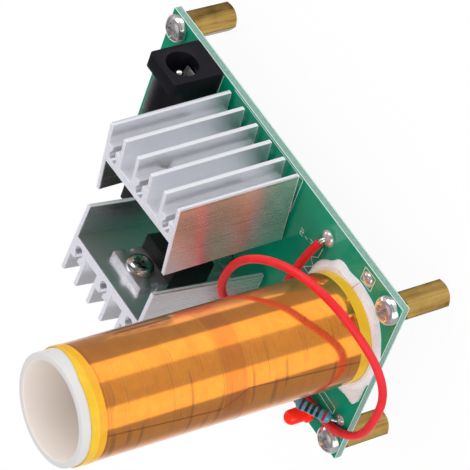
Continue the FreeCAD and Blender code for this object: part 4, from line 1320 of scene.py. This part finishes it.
def makeSolder():
    joints = []
    for low, high in looseBoxes("solder_joints"):
        radius = (high.x - low.x) / 2
        height = high.z - low.z
        tipShare, tipLength = solder["jointTip"]
        profile = [(radius * share, rise) for share, rise in solder["jointFoot"]]
        profile += [(radius * share, -drop * height) for share, drop in solder["jointCone"]]
        profile.append((radius * tipShare, -height - tipLength))
        joint = addTurned("joint", profile[::-1], sides=28)
        joints.append(placeBy(joint, overMiddle(low, high, boardLow.z)))
    finishPiece(joinPieces("solderJoints", joints), solderMetal, ["solder_joints"], smoothAngle=60)
    domes = []
    for low, high in looseBoxes("pad_solder"):
        radius = (high.x - low.x) / 2
        profile = [(radius * share, rise) for share, rise in solder["padFoot"]]
        profile += domeOver(profile[-1][0], 0, high.z - low.z, solder["padSteps"])
        dome = addTurned("dome", profile, sides=36)
        domes.append(placeBy(dome, overMiddle(low, high, boardTop)))
    finishPiece(joinPieces("padSolder", domes), solderMetal, ["pad_solder"], smoothAngle=60)


makeSolder()
print("solder")


# Printed outlines on the board

ink = {
    "height": 0.02 * mm,
    "line": 0.14 * mm,
    "outlines": {   # in mm, on the board
        "zigzag": ((16.87, 13.25), (16.57, 10.65), (14.98, 9.18), (16.27, 8.03), (14.27, 5.72), (16.01, 5.70)),
        "squarePad": ((27.4, 16.7), (30.6, 16.7), (30.6, 19.9), (27.4, 19.9), (27.4, 16.7)),
        "resistorOutline": ((29.3, -12.8), (30.2, -11.3), (34.3, -11.5), (34.2, -13.1), (29.3, -12.8)),
        "socketLine": ((-20.83, 20.2), (-20.94, 15.85)),
        "finLine": ((-17.0, 20.35), (6.4, 20.35), (6.4, 12.2)),
        "two": ((10.4, 11.95), (11.2, 11.95), (11.2, 11.35), (10.4, 11.35), (10.4, 10.7), (11.2, 10.7)),
        "dash": ((11.9, 11.3), (12.6, 11.3)),
        "three": ((13.35, 12.1), (14.15, 12.1), (14.15, 10.85), (13.35, 10.85), (14.15, 10.85), (14.15, 11.5),
                  (13.6, 11.5)),
    },
}
whiteInk = plainMaterial("whiteInk", (0.82, 0.86, 0.84), (0.70, 0.76, 0.73), 0.5, scale=1500.0, relief=0.1)


def makeInkLines():
    strips = []
    for outline in ink["outlines"].values():
        for (startX, startY), (endX, endY) in zip(outline, outline[1:]):
            start, end = Vector((startX, startY, 0)) * mm, Vector((endX, endY, 0)) * mm
            run = end - start
            half = ink["line"] / 2
            strip = addBlock("strip", (-half, -half, 0), (run.length + half, half, ink["height"]))
            turn = Matrix.Rotation(math.atan2(run.y, run.x), 4, "Z")
            strips.append(placeBy(strip, Matrix.Translation((start.x, start.y, boardTop)) @ turn))
    finishPiece(joinPieces("printedLines", strips), whiteInk)


makeInkLines()
print("printed lines")
